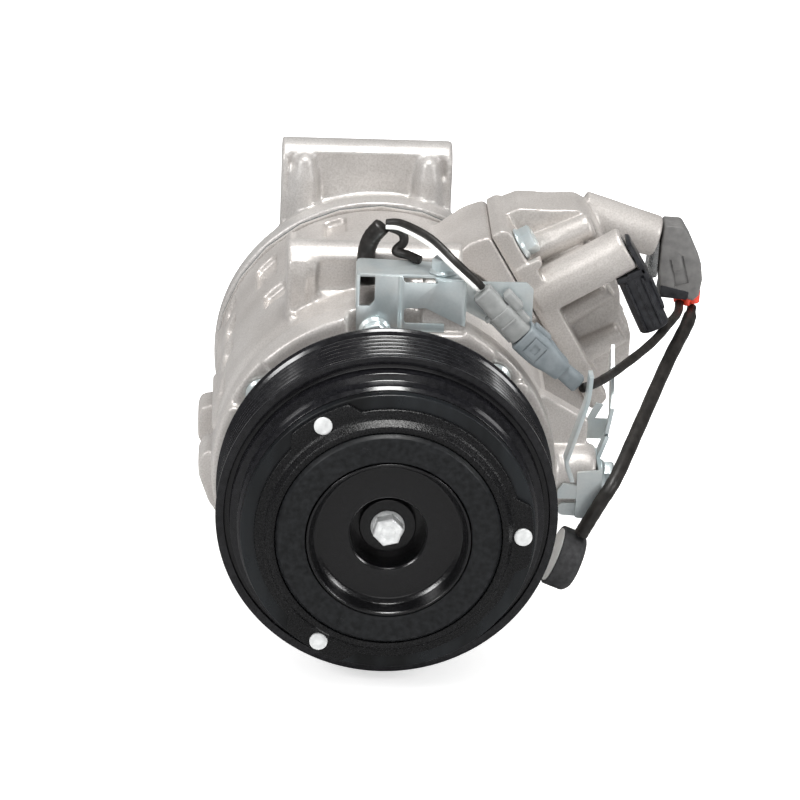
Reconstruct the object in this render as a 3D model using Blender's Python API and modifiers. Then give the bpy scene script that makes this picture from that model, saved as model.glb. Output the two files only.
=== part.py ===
"""Automotive air-conditioning compressor with an electromagnetic clutch.

The shaft runs along Y. The clutch is at -Y, the rear housing at +Y, +Z is up.
The origin is the centre of the flat pad on the rear housing, on the shaft axis.
Stations along the shaft are written in millimetres from the pulley's front rim
and moved back by REAR_PAD when the meshes are made.
"""
import bpy
import bmesh
from math import pi, sin, cos, tan, radians, sqrt, hypot, atan2
from mathutils import Matrix, Vector

# ---------------------------------------------------------------- dimensions
MM = 0.001
REAR_PAD = 212.0          # station of the rear pad, which is the origin
GAP = 0.3                 # clearance between neighbouring pieces

# pulley and clutch
PULLEY_R = 62.5
PULLEY_W = 29.0
RIBS = 7
RIB_PITCH = 3.56
RIB_FIRST = 2.04
GROOVE_R = 59.7
FRICTION_Y = -10.8
AIR_GAP = 0.4
BEARING_R = 27.4
NOSE_R = 17.4
COIL_IN, COIL_OUT = 33.2, 49.6
ARM_IN, ARM_OUT, ARM_T = 34.0, 53.4, 4.0
HUB_FRONT = -22.5
RIVET_PCD = 48.7
RIVET_FIRST = 0.66        # degrees, anticlockwise seen from the front
# castings
SHELL_R = 64.0
BLOCK_R = 63.8
CAVITY_R = 57.5
SEAM_1 = 112.0            # front housing to cylinder block
SEAM_2 = 160.0            # block to valve plate
HEAD_Y = 164.1
BOLTS = 7
BOLT_PCD = 55.0
BOLT_FIRST = 44.1         # degrees
EAR_X0, EAR_X1 = -38.0, 27.5
REAR_X0, REAR_X1 = -39.3, 28.8
EAR_FRONT_Y, EAR_REAR_Y = 75.0, 192.0
EAR_BORE_R = 5.2
EAR_BORE_Z = 63.0
# pump
PISTONS = 7
PISTON_PCD = 41.0
PISTON_FIRST = 69.8       # degrees, between two through bolts
BORE_R = 16.0
PLATE_Y = 102.0           # mid-plane of the swash plate at rest
PLATE_T = 8.0
PLATE_R = 48.0
SHAFT_R = 8.5
# port block plane: its normal leans this far up from +X
BLOCK_TILT = 31.0
VALVE_S, VALVE_Y = 9.1, 112.0   # axis of the valve boss on that plane

CA, SA = cos(radians(BLOCK_TILT)), sin(radians(BLOCK_TILT))

# facets round a turned piece
N_BIG, N_MID, N_SMALL, N_BOSS, N_HOLE = 24, 18, 14, 8, 6

# ------------------------------------------------------------------- helpers
for ob in list(bpy.data.objects):
    bpy.data.objects.remove(ob, do_unlink=True)

scene = bpy.context.scene
parts = bpy.data.collections.new("ac_compressor")
cutters = bpy.data.collections.new("cutters")
scene.collection.children.link(parts)
scene.collection.children.link(cutters)


def W(x, y, z):
    """Stations in millimetres to metres in the model's frame."""
    return Vector((x * MM, (y - REAR_PAD) * MM, z * MM))


def material(name, color, rough, metal):
    m = bpy.data.materials.new(name)
    m.use_nodes = True
    b = m.node_tree.nodes["Principled BSDF"]
    b.inputs["Base Color"].default_value = (*color, 1.0)
    b.inputs["Roughness"].default_value = rough
    b.inputs["Metallic"].default_value = metal
    m.diffuse_color = (*color, 1.0)
    return m


MATS = {
    "cast_aluminium": ((0.60, 0.58, 0.56), 0.45, 0.85),
    "black_metal": ((0.012, 0.013, 0.015), 0.25, 0.3),
    "black_texture": ((0.014, 0.014, 0.015), 0.45, 0.2),
    "rubber": ((0.02, 0.022, 0.024), 0.45, 0.0),
    "steel": ((0.60, 0.60, 0.60), 0.3, 1.0),
    "zinc": ((0.62, 0.68, 0.70), 0.3, 1.0),
    "light_grey_plastic": ((0.36, 0.37, 0.36), 0.5, 0.0),
    "blue_grey_plastic": ((0.24, 0.27, 0.29), 0.5, 0.0),
    "dark_grey_plastic": ((0.17, 0.17, 0.17), 0.5, 0.0),
    "black_plastic": ((0.02, 0.021, 0.024), 0.35, 0.0),
    "cable_black": ((0.018, 0.017, 0.016), 0.5, 0.0),
    "wire_white": ((0.80, 0.80, 0.78), 0.45, 0.0),
    "copper_enamel": ((0.35, 0.12, 0.05), 0.4, 0.3),
    "gasket": ((0.12, 0.13, 0.13), 0.6, 0.2),
}
MAT = {}
for key, (color, rough, metal) in MATS.items():
    MAT[key] = material(key, color, rough, metal)


def link(name, mesh, coll=cutters):
    ob = bpy.data.objects.new(name, mesh)
    coll.objects.link(ob)
    return ob


def evaluated(ob):
    """The object's mesh with its modifiers, in world space, facing out."""
    dg = bpy.context.evaluated_depsgraph_get()
    me = bpy.data.meshes.new_from_object(ob.evaluated_get(dg))
    me.transform(ob.matrix_world)
    bm = bmesh.new()
    bm.from_mesh(me)
    bmesh.ops.remove_doubles(bm, verts=bm.verts, dist=2e-6)
    bmesh.ops.dissolve_degenerate(bm, edges=bm.edges, dist=1e-6)
    bmesh.ops.recalc_face_normals(bm, faces=bm.faces)
    bm.to_mesh(me)
    bm.free()
    return me


def baked(ob):
    """Replace an object by its evaluated mesh in world space."""
    name = ob.name
    me = evaluated(ob)
    bpy.data.objects.remove(ob, do_unlink=True)
    return link(name, me)


def from_bm(name, bm):
    me = bpy.data.meshes.new(name)
    bm.to_mesh(me)
    bm.free()
    return link(name, me)


def basis(origin, ex, ey, ez):
    ex, ey, ez = Vector(ex).normalized(), Vector(ey).normalized(), Vector(ez).normalized()
    m = Matrix.Identity(4)
    for i, v in enumerate((ex, ey, ez)):
        m[0][i], m[1][i], m[2][i] = v
    m.translation = origin
    return m


def along(p0, p1, up=(0, 0, 1)):
    """A frame at p0 whose Z runs to p1."""
    ez = (Vector(p1) - Vector(p0)).normalized()
    u = Vector(up)
    if abs(ez.dot(u.normalized())) > 0.95:
        u = Vector((0, 1, 0))
    ex = u.cross(ez).normalized()
    ey = ez.cross(ex)
    return basis(Vector(p0), ex, ey, ez)


def box(x0, x1, y0, y1, z0, z1, name="box"):
    bm = bmesh.new()
    bmesh.ops.create_cube(bm, size=1.0)
    bmesh.ops.scale(bm, vec=Vector((x1 - x0, y1 - y0, z1 - z0)) * MM, verts=bm.verts)
    bmesh.ops.translate(bm, vec=W((x0 + x1) / 2, (y0 + y1) / 2, (z0 + z1) / 2), verts=bm.verts)
    return from_bm(name, bm)


def block(p0, p1, width, height, name="block", up=(0, 0, 1)):
    """A bar from p0 to p1 (metres), width across and height along 'up'."""
    m = along(p0, p1, up)
    length = (Vector(p1) - Vector(p0)).length
    bm = bmesh.new()
    bmesh.ops.create_cube(bm, size=1.0)
    bmesh.ops.scale(bm, vec=Vector((width * MM, height * MM, length)), verts=bm.verts)
    bmesh.ops.translate(bm, vec=Vector((0, 0, length / 2)), verts=bm.verts)
    bmesh.ops.transform(bm, matrix=m, verts=bm.verts)
    return from_bm(name, bm)


def rod(p0, p1, r0, r1=None, n=24, name="rod"):
    """A cylinder or cone between two points in metres."""
    r1 = r0 if r1 is None else r1
    length = (Vector(p1) - Vector(p0)).length
    bm = bmesh.new()
    bmesh.ops.create_cone(bm, cap_ends=True, cap_tris=False, segments=n,
                          radius1=r0 * MM, radius2=r1 * MM, depth=length)
    bmesh.ops.translate(bm, vec=Vector((0, 0, length / 2)), verts=bm.verts)
    bmesh.ops.transform(bm, matrix=along(p0, p1), verts=bm.verts)
    return from_bm(name, bm)


def cyl_y(x, z, r, y0, y1, n=24, name="cyl"):
    return rod(W(x, y0, z), W(x, y1, z), r, n=n, name=name)


def lathe(name, profile, steps=40, closed=True, phase=0.0):
    """Turn (radius, station) points about the shaft axis with a Screw."""
    me = bpy.data.meshes.new(name)
    pts = [(r * MM, 0.0, (y - REAR_PAD) * MM) for r, y in profile]
    n = len(pts)
    edges = [(i, i + 1) for i in range(n - 1)] + ([(n - 1, 0)] if closed else [])
    me.from_pydata(pts, edges, [])
    ob = link(name, me)
    ob.rotation_euler = (-pi / 2, 0, 0)
    s = ob.modifiers.new("turn", "SCREW")
    s.axis = "Z"
    s.angle = 2 * pi
    s.steps = s.render_steps = steps
    s.use_merge_vertices = True
    s.merge_threshold = 1e-6
    s.use_smooth_shade = False
    bpy.context.view_layer.update()
    return baked(ob)


def sheet(name, outline, t, matrix, holes=()):
    """A flat outline (millimetres) extruded to thickness t about its plane."""
    cu = bpy.data.curves.new(name, "CURVE")
    cu.dimensions = "2D"
    cu.fill_mode = "BOTH"
    cu.extrude = t * MM / 2
    for loop in (outline, *holes):
        sp = cu.splines.new("POLY")
        sp.points.add(len(loop) - 1)
        for p, (u, v) in zip(sp.points, loop):
            p.co = (u * MM, v * MM, 0, 1)
        sp.use_cyclic_u = True
    ob = link(name, cu)
    ob.matrix_world = matrix
    bpy.context.view_layer.update()
    return baked(ob)


def wire(name, pts, r, res=2):
    """A round wire through points given in stations (millimetres)."""
    cu = bpy.data.curves.new(name, "CURVE")
    cu.dimensions = "3D"
    cu.bevel_depth = r * MM
    cu.bevel_resolution = res
    cu.use_fill_caps = True
    sp = cu.splines.new("POLY")
    sp.points.add(len(pts) - 1)
    for p, q in zip(sp.points, pts):
        p.co = (*W(*q), 1)
    ob = link(name, cu)
    bpy.context.view_layer.update()
    return baked(ob)


def smooth_path(ctrl, per=3):
    """Points of a Catmull-Rom path through the control points."""
    out = []
    for i in range(len(ctrl) - 1):
        p0 = ctrl[max(i - 1, 0)]
        p1, p2 = ctrl[i], ctrl[i + 1]
        p3 = ctrl[min(i + 2, len(ctrl) - 1)]
        for k in range(per):
            t = k / per
            out.append(tuple(
                0.5 * (2 * b + (c - a) * t + (2 * a - 5 * b + 4 * c - d) * t * t
                       + (3 * b - a - 3 * c + d) * t ** 3)
                for a, b, c, d in zip(p0, p1, p2, p3)))
    out.append(tuple(ctrl[-1]))
    return out


def boolean(a, b, op):
    m = a.modifiers.new("bool", "BOOLEAN")
    m.operation = op
    m.object = b
    m.solver = "EXACT"
    bpy.context.view_layer.update()
    a = baked(a)
    bpy.data.objects.remove(b, do_unlink=True)
    return a


def join(a, *more):
    for b in more:
        a = boolean(a, b, "UNION")
    return a


def cut(a, *more):
    for b in more:
        a = boolean(a, b, "DIFFERENCE")
    return a


def circle(r, cx=0.0, cy=0.0, n=24, phase=0.0):
    return [(cx + r * cos(2 * pi * i / n + phase), cy + r * sin(2 * pi * i / n + phase))
            for i in range(n)]


def ns(n, s, y):
    """A point in the port block's plane coordinates: out along the normal,
    up along the face, and along the shaft."""
    return W(n * CA - s * SA, y, n * SA + s * CA)


def ns_prism(name, outline, y0, y1):
    """An outline in (normal, along-face) millimetres, extruded along Y."""
    m = basis(W(0, (y0 + y1) / 2, 0), (CA, 0, SA), (-SA, 0, CA), (0, -1, 0))
    return sheet(name, outline, y1 - y0, m)


def xz_prism(name, outline, y0, y1, holes=()):
    m = basis(W(0, (y0 + y1) / 2, 0), (1, 0, 0), (0, 0, 1), (0, -1, 0))
    return sheet(name, outline, y1 - y0, m, holes)


def xy_prism(name, outline, z0, z1, holes=()):
    """An outline in (x, station), extruded along Z."""
    m = basis(Vector((0, -REAR_PAD * MM, (z0 + z1) / 2 * MM)), (1, 0, 0), (0, 1, 0), (0, 0, 1))
    return sheet(name, outline, z1 - z0, m, holes)


def yz_prism(name, outline, x0, x1, holes=()):
    """An outline in (station, z), extruded along X."""
    m = basis(Vector(((x0 + x1) / 2 * MM, -REAR_PAD * MM, 0)), (0, 1, 0), (0, 0, 1), (1, 0, 0))
    return sheet(name, outline, x1 - x0, m, holes)


BODY = {}


def finish(ob, name, mat, body, origin=None, smooth=True):
    """Name a piece, put its origin on its joint's axis and parent it."""
    me = ob.data
    bpy.data.objects.remove(ob, do_unlink=True)
    me.name = name
    origin = Vector(origin) if origin is not None else BODY[body].location.copy()
    me.transform(Matrix.Translation(-origin))
    ob = bpy.data.objects.new(name, me)
    ob.location = origin
    parts.objects.link(ob)
    me.materials.clear()
    me.materials.append(MAT[mat])
    if smooth:
        me.shade_smooth()
        me.set_sharp_from_angle(angle=radians(32))
    par = BODY[body]
    ob.parent = par
    ob.matrix_parent_inverse = Matrix.Translation(-par.location)
    return ob


def empty(name, loc):
    e = bpy.data.objects.new(name, None)
    e.location = loc
    e.empty_display_size = 0.01
    parts.objects.link(e)
    BODY[name] = e
    return e


def polar(r, deg):
    return r * cos(radians(deg)), r * sin(radians(deg))


BOLT_AT = [polar(BOLT_PCD, BOLT_FIRST + 360.0 / BOLTS * i) for i in range(BOLTS)]
PISTON_AT = [(PISTON_FIRST + 360.0 / PISTONS * i) for i in range(PISTONS)]

empty("housing", W(0, REAR_PAD, 0))
empty("pulley_axis", W(0, 14.5, 0))
empty("shaft_axis", W(0, 0, 0))
empty("armature_axis", W(0, -15, 0))
empty("swash_pivot", W(0, PLATE_Y, PISTON_PCD))
empty("plunger_axis", ns(97, VALVE_S, VALVE_Y))
for i, a in enumerate(PISTON_AT):
    x, z = polar(PISTON_PCD, a)
    empty("piston_axis_%d" % (i + 1), W(x, 150, z))

# ------------------------------------------------------------------ clutch
# Pulley: ribbed rim, stepped drum in front of it, friction face and the
# inner sleeve that holds the bearing.
prof = [(PULLEY_R, PULLEY_W), (50.8, PULLEY_W), (50.8, -6.8), (32.0, -6.8), (32.0, 21.0),
        (27.7, 21.0), (27.7, -0.3), (25.8, -0.3), (25.8, FRICTION_Y), (53.6, FRICTION_Y),
        (54.6, -9.4), (54.6, -4.0), (57.2, -3.4), (57.2, 1.6), (59.4, 1.6), (59.4, 0.0),
        (PULLEY_R, 0.0)]
for i in range(RIBS):
    y = RIB_FIRST + RIB_PITCH * i
    prof += [(61.9, y), (GROOVE_R, y + RIB_PITCH / 2)]
prof += [(61.9, RIB_FIRST + RIB_PITCH * RIBS), (PULLEY_R, PULLEY_W - 1.3)]
finish(lathe("pulley", prof, N_BIG), "pulley", "black_metal", "pulley_axis")

finish(lathe("outer", [(24.9, 0), (BEARING_R, 0), (BEARING_R, 20), (24.9, 20)], N_BIG),
       "pulley_bearing_outer_race", "steel", "pulley_axis")
finish(lathe("inner", [(NOSE_R + GAP, 0), (20.4, 0), (20.4, 20), (NOSE_R + GAP, 20)], N_MID),
       "pulley_bearing_inner_race", "steel", "housing")
finish(lathe("coil", [(COIL_IN, -5.9), (COIL_OUT, -5.9), (COIL_OUT, 26.8), (21.2, 26.8),
                      (21.2, 23.8), (COIL_IN, 23.8)], N_BIG),
       "field_coil", "copper_enamel", "housing")

arm_f = FRICTION_Y - AIR_GAP - ARM_T          # front face of the armature
RIVET_AT = [polar(RIVET_PCD, RIVET_FIRST + 120 * i) for i in range(3)]
arm = lathe("arm", [(ARM_IN, arm_f), (ARM_OUT, arm_f), (ARM_OUT, arm_f + ARM_T),
                    (ARM_IN, arm_f + ARM_T)], N_BIG)
for x, z in RIVET_AT:
    arm = cut(arm, cyl_y(x, z, 2.3, arm_f - 1, arm_f + ARM_T + 1, 8))
finish(arm, "armature_plate", "black_metal", "armature_axis")

# Outer plate of the hub: a ring with three lobes that carry the rivets.
plate_b = arm_f - 0.2
plate_f = plate_b - 1.8


def lobed(n=48):
    """Outline of the outer plate: the radius rises to 52.4 over each lobe."""
    pts = []
    for i in range(n):
        a = 360.0 * i / n
        r = 48.4
        for k in range(3):
            d = (a - (RIVET_FIRST + 120 * k) + 180) % 360 - 180
            if -18 <= d <= 18:
                e = min(1.0, (18 - abs(d)) / 6.0)
                r = 48.4 + 4.0 * (e * e * (3 - 2 * e))
        pts.append(polar(r, a))
    return pts


hp = xz_prism("hub_outer", lobed(), plate_f, plate_b, [circle(41.1, n=N_BIG)])
collar = lathe("collar", [(41.1, plate_f - 2.6), (43.4, plate_f - 2.2), (44.2, plate_f + 0.4),
                          (41.1, plate_f + 0.4)], N_BIG)
hp = join(hp, collar)
for x, z in RIVET_AT:
    hp = cut(hp, cyl_y(x, z, 2.3, plate_f - 2, plate_b + 1, 8))
finish(hp, "hub_outer_plate", "black_texture", "armature_axis")
for i, (x, z) in enumerate(RIVET_AT):
    rv = join(cyl_y(x, z, 2.0, plate_f - 0.1, arm_f + ARM_T - 0.2, 8),
              cyl_y(x, z, 3.15, plate_f - 1.3, plate_f - 0.05, 12))
    rv.data.transform(Matrix.Translation((0, -0.0001, 0)))
    finish(rv, "armature_rivet_%d" % (i + 1), "steel", "armature_axis")

finish(lathe("damper", [(30.1, HUB_FRONT + 0.5), (30.7, HUB_FRONT), (40.0, HUB_FRONT),
                        (40.8, HUB_FRONT + 0.8), (40.8, -16.6), (30.1, -16.6)], N_BIG),
       "hub_rubber_damper", "rubber", "shaft_axis")

# Inner hub: central boss on the shaft, then the pressed bowl.
finish(lathe("hub", [(3.35, -9.0), (10.4, -9.0), (10.4, -5.5), (13.8, -5.5), (13.8, -16.0),
                     (26.2, -16.0), (27.4, -17.0), (28.5, HUB_FRONT), (29.7, HUB_FRONT),
                     (29.7, -14.2), (16.0, -14.2), (16.0, -3.5), (10.4, -3.5), (10.4, 13.0),
                     (5.8, 13.0), (5.8, -7.2), (3.35, -7.2)], N_MID),
       "clutch_hub", "black_texture", "shaft_axis")
hb = cyl_y(0, 0, 6.2, -11.0, -9.3, 16)
hb = join(hb, cyl_y(0, 0, 5.0 / cos(pi / 6), -15.6, -10.9, 6), cyl_y(0, 0, 3.0, -9.5, 9.0, 10))
finish(hb, "hub_bolt", "steel", "shaft_axis")

# ------------------------------------------------------------- shaft group
finish(lathe("shaft", [(0, 12), (3.35, 12), (3.35, -6.9), (5.5, -6.9), (5.5, 13.4),
                       (7.5, 13.4), (7.5, 48.6), (SHAFT_R, 48.6), (SHAFT_R, 129.0),
                       (7.5, 129.0), (7.5, 147.0), (0, 147.0)], N_SMALL, closed=False),
       "drive_shaft", "steel", "shaft_axis")
finish(lathe("seal", [(7.8, 17), (12.9, 17), (12.9, 27), (7.8, 27)], N_SMALL),
       "shaft_seal", "rubber", "housing")
finish(lathe("fb", [(7.8, 35), (12.1, 35), (12.1, 47.5), (7.8, 47.5)], N_SMALL),
       "front_shaft_bearing", "steel", "housing")
finish(lathe("rb", [(7.8, 130.5), (12.1, 130.5), (12.1, 144.5), (7.8, 144.5)], N_SMALL),
       "rear_shaft_bearing", "steel", "housing")
finish(lathe("tb", [(13, 49.4), (24, 49.4), (24, 51.6), (13, 51.6)], N_SMALL),
       "thrust_bearing", "steel", "housing")
lug = lathe("lug", [(SHAFT_R + GAP, 52), (44, 52), (45, 53), (45, 56.5), (33, 57), (30, 61), (SHAFT_R + GAP, 61)], N_MID)
# balance weight on the side away from the pivot arm
lug = join(lug, box(-9, 9, 55, 66, 23, 32))
finish(lug, "lug_plate", "steel", "shaft_axis")

sw = lathe("swash", [(4, PLATE_Y - PLATE_T / 2), (PLATE_R, PLATE_Y - PLATE_T / 2),
                     (PLATE_R, PLATE_Y + PLATE_T / 2), (4, PLATE_Y + PLATE_T / 2)], N_BIG)
hole = xz_prism("hole", [(10.6 * cos(t), -2.2 + 11.5 * sin(t)) for t in
                         [2 * pi * k / 20 for k in range(20)]], PLATE_Y - 10, PLATE_Y + 10)
finish(cut(sw, hole), "swash_plate", "steel", "swash_pivot")

turns = 2.2
coil_pts = []
for k in range(int(turns * 10) + 1):
    a = 2 * pi * k / 10
    coil_pts.append((12.0 * cos(a), 108.0 + 6.2 * k / (turns * 10), 12.0 * sin(a)))
finish(wire("spring", coil_pts, 0.9, 1), "swash_return_spring", "steel", "housing")

for i, a in enumerate(PISTON_AT):
    x, z = polar(PISTON_PCD, a)
    ux, uz = cos(radians(a)), sin(radians(a))

    # skirt in the bore, a C-shaped bridge over the plate's rim, and a domed
    # pad on each side of the plate
    m = basis(Vector((0, -REAR_PAD * MM, 0)), (ux, 0, uz), (0, 1, 0), (-uz, 0, ux))
    bridge = sheet("bridge", [(35, 86.5), (54.8, 86.5), (54.8, 115.2), (35, 115.2), (35, 111),
                              (51.4, 111), (51.4, 93), (35, 93)], 18.0, m)
    p = join(cyl_y(x, z, BORE_R - GAP, 114.2, SEAM_2 - 0.6, N_SMALL), bridge,
             rod(W(x, 111.4, z), W(x, 107.6, z), 6.0, 2.4, N_HOLE),
             rod(W(x, 92.6, z), W(x, 96.4, z), 6.0, 2.4, N_HOLE))
    finish(p, "piston_%d" % (i + 1), "steel", "piston_axis_%d" % (i + 1))

# --------------------------------------------------------------- castings
def ear(y, name, lo=EAR_X0, hi=EAR_X1, zt=69.8, r=9.4):
    """An upper mounting ear: a bar along X with a through bore, a thinner
    web below it and a pillar near each end."""
    arc = [(y + r * cos(t), zt + r * sin(t)) for t in [pi * k / 6 for k in range(7)]]
    # recessed middle, between the two end pillars
    rm, zm = 7.4, 71.8
    mid = ([(y + 6.4, 44), (y + rm, 64)]
           + [(y + rm * cos(t), zm + rm * sin(t)) for t in [pi * k / 6 for k in range(7)]]
           + [(y - rm, 66), (y - 5.5, 60), (y - 5.5, 44)])
    end = [(y + r, 40), *arc, (y - r, 40)]
    e = yz_prism(name, mid, lo + 6, hi - 6)
    for x0, x1 in ((lo, lo + 9.5), (hi - 9.5, hi)):
        e = join(e, yz_prism("end", end, x0, x1))
    return e


def bolt_hole_loops():
    return [circle(3.5, x, z, N_HOLE) for x, z in BOLT_AT]


# Front housing: nose, flange and the crankcase shell.
fh = lathe("front_housing", [
    (13.2, -3), (NOSE_R, -3), (NOSE_R, 20.3), (20.7, 20.3), (20.7, 27.2), (42, 27.2),
    (47, 31), (57, 36), (58, 41), (64.6, 41), (64.8, 52), (SHELL_R, 56), (SHELL_R, SEAM_1),
    (CAVITY_R, SEAM_1), (CAVITY_R, 54), (54, 49.1), (12.4, 49.1), (12.4, 34), (9.6, 34),
    (9.6, 28), (13.2, 28)], N_BIG)
# raised pads on the flange, between the bolt heads
for a0, a1 in ((54, 86), (105, 137), (-86, -20), (158, 186)):
    n = max(2, round((a1 - a0) / 15))
    outer = [polar(64.4, a0 + (a1 - a0) * k / n) for k in range(n + 1)]
    inner = [polar(57.2, a1 - (a1 - a0) * k / n) for k in range(n + 1)]
    fh = join(fh, xz_prism("pad", outer + inner, 38.2, 42))
fh = join(fh, ear(EAR_FRONT_Y, "ear_f"))
# boss for the wiring bracket, in front of the ear
fh = join(fh, box(12, 26.5, 41.8, 55, 55, 76.0))
# left lug, tapering downwards
fh = join(fh, xz_prism("lug", [(-50, -4.8), (-67, -4.8), (-69.3, -6.9), (-69.6, -12.3), (-68.2, -18.4),
                               (-65.4, -25.4), (-62.2, -30), (-50, -30)], 70, 88))
# boss on the right that carries the side bracket, and the web above it
fh = join(fh, rod(W(52, 57, -5.5), W(80.3, 57, -5.5), 12.0, n=N_MID))
fh = join(fh, xz_prism("web", [(50, -8), (76, -8), (76.4, 4), (77.4, 16), (60, 26), (50, 26)], 58, 66))
# flat for the wiring bracket, cut into the flange at the top
fh = cut(fh, box(-15, 11.7, 30, 45.8, 47.6, 72))
fh = cut(fh, box(11, 28, 37, 41.8, 56.5, 72))
fh = cut(fh, cyl_y(0, 0, CAVITY_R + 0.2, 54.5, SEAM_1 + 2, N_BIG))
for x, z in BOLT_AT:
    fh = join(fh, cyl_y(x, z, 5.2, 41.7, SEAM_1 - 0.1, N_BOSS))
for x, z in BOLT_AT:
    fh = cut(fh, cyl_y(x, z, 3.5, 30, SEAM_1 + 3, N_HOLE))
    fh = cut(fh, cyl_y(x, z, 6.9, 30, 45.8 if (x, z) == BOLT_AT[1] else 42.4, N_BOSS))
fh = cut(fh, rod(W(EAR_X0 - 2, EAR_FRONT_Y, EAR_BORE_Z), W(EAR_X1 + 2, EAR_FRONT_Y, EAR_BORE_Z),
                 EAR_BORE_R, n=10))
fh = cut(fh, rod(W(19.3, 47.5, 62), W(19.3, 47.5, 78), 3.0, n=8))
fh = cut(fh, rod(W(72.4, 57, -5.5), W(82, 57, -5.5), 3.0, n=8))
finish(fh, "front_housing", "cast_aluminium", "housing")

# Cylinder block with the raised flange for the port block.
cb = xz_prism("block", circle(BLOCK_R, n=N_BIG), SEAM_1 + GAP, SEAM_2)
cb = join(cb, ns_prism("flange", [(40, -42), (71, -42), (71, 41), (62, 42.5), (40, 40)], 112.6, 151))
cb = join(cb, ns_prism("lip", [(66.6, 2), (71, 2), (71, 41), (62, 42.5), (53, 40), (60, 28)], 106, 113.5))
# left rear lug
cb = join(cb, xz_prism("lug", [(-50, -14.3), (-63.4, -14.3), (-69.2, -16.1), (-70.3, -19.2), (-70.1, -28.6),
                               (-67.2, -33.7), (-50, -34)], 142, 158))
cb = cut(cb, cyl_y(0, 0, CAVITY_R - 0.5, SEAM_1 - 2, 116, N_BIG))
for a in PISTON_AT:
    x, z = polar(PISTON_PCD, a)
    cb = cut(cb, cyl_y(x, z, BORE_R, 110, SEAM_2 + 2, N_SMALL))
# shaft bore, bearing pocket, small rear bore
cb = cut(cb, cyl_y(0, 0, 9.4, 110, 131, N_SMALL), cyl_y(0, 0, 12.8, 129.8, 145, N_SMALL),
         cyl_y(0, 0, 8.6, 140, SEAM_2 + 2, N_SMALL))
for x, z in BOLT_AT:
    cb = cut(cb, cyl_y(x, z, 3.5, 105, SEAM_2 + 3, N_HOLE))
# passage between the flange and the valve side, and two bolt holes
cb = cut(cb, rod(ns(60, -10, 140), ns(73, -10, 140), 7, n=12))
PB_BOLTS = ((30, 113.5), (-33, 146))
finish_cb = cb
for s, y in PB_BOLTS:
    finish_cb = cut(finish_cb, rod(ns(60.5, s, y), ns(73, s, y), 3.0, n=8))
finish(finish_cb, "cylinder_block", "cast_aluminium", "housing")


ports = []
for a in PISTON_AT:
    x, z = polar(35.0, a)
    ports.append(circle(3.0, x, z, 6))
finish(xz_prism("vp", circle(BLOCK_R - 0.3, n=N_BIG), SEAM_2 + GAP, SEAM_2 + 2.6,
                bolt_hole_loops() + ports), "valve_plate", "steel", "housing")
finish(xz_prism("hg", circle(BLOCK_R - 0.3, n=N_BIG), SEAM_2 + 2.9, SEAM_2 + 3.8,
                bolt_hole_loops() + [circle(30, n=N_MID)]), "head_gasket", "gasket", "housing")

# Rear housing: domed cover with suction and discharge chambers.
rh = lathe("dome", [(0, HEAD_Y), (64.5, HEAD_Y), (64.5, 172), (61.6, 182), (59.2, 192), (52, 203),
                    (40, 208.5), (19, 209.5), (18, REAR_PAD), (0, REAR_PAD)], N_BIG, closed=False)
rh = join(rh, ear(EAR_REAR_Y, "ear_r", REAR_X0, REAR_X1, 71.4, 9.8))
rh = cut(rh, cyl_y(0, 0, 27, HEAD_Y - 2, 200, N_MID))
ring = lathe("ring", [(32, HEAD_Y - 2), (49.4, HEAD_Y - 2), (49.4, 182), (46, 192), (32, 192)], N_BIG)
rh = cut(rh, ring)
for x, z in BOLT_AT:
    rh = cut(rh, cyl_y(x, z, 3.5, HEAD_Y - 2, 180.4, N_HOLE))
rh = cut(rh, rod(W(REAR_X0 - 2, EAR_REAR_Y, EAR_BORE_Z), W(REAR_X1 + 2, EAR_REAR_Y, EAR_BORE_Z),
                 EAR_BORE_R, n=10))
finish(rh, "rear_housing", "cast_aluminium", "housing")

# Port block: flange on the tilted face, body, valve boss and tube stub.
pb = ns_prism("pb", [(71.3, -41), (78.4, -41), (78.4, 38.6), (76, 40.8), (71.3, 41)], 106, 150)
pb = join(pb, ns_prism("pb2", [(75, 39.5), (83.7, 38.5), (94.2, 31.8), (103.3, 26.7), (106.3, 21.6), (106.3, 15),
                               (101.7, -11.3), (97.3, -19.8), (97.6, -28.2), (91.8, -37.7), (82.4, -40.5),
                               (75, -40.5)], 127, 150))
pb = join(pb, ns_prism("skirt", [(75, 2), (101, 2), (101, 16.5), (75, 16.5)], 112, 128),
          rod(ns(75, 23.2, 122.5), ns(105.6, 20.4, 122.5), 5.5, n=12))
pb = join(pb, rod(ns(74, VALVE_S, VALVE_Y), ns(114.4, VALVE_S, VALVE_Y), 8.7, n=18))
TUBE_0, TUBE_1 = W(78, 150, 66.5), W(108.8, 150, 58.2)
pb = join(pb, rod(TUBE_0, TUBE_1, 8.2, n=14))
pb = cut(pb, rod(ns(90, VALVE_S, VALVE_Y), ns(118, VALVE_S, VALVE_Y), 5.2, n=14))
pb = cut(pb, rod(W(95, 150, 61.9), W(112, 150, 57.3), 4.0, n=12))
pb = cut(pb, rod(ns(70, -10, 140), ns(90, -10, 140), 7, n=12))
for s, y in PB_BOLTS:
    pb = cut(pb, rod(ns(70, s, y), ns(80, s, y), 3.3, n=8))
    pb = cut(pb, rod(ns(78.5, s, y), ns(112, s, y), 7.3, n=12))
finish(pb, "port_block", "cast_aluminium", "housing")
for i, (s, y) in enumerate(PB_BOLTS):
    b = join(rod(ns(78.8, s, y), ns(80.4, s, y), 6.4, n=14),
             rod(ns(80.3, s, y), ns(84.8, s, y), 5.6, n=6),
             rod(ns(62, s, y), ns(79, s, y), 2.5, n=8))
    finish(b, "port_block_bolt_%d" % (i + 1), "zinc", "housing")
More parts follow.
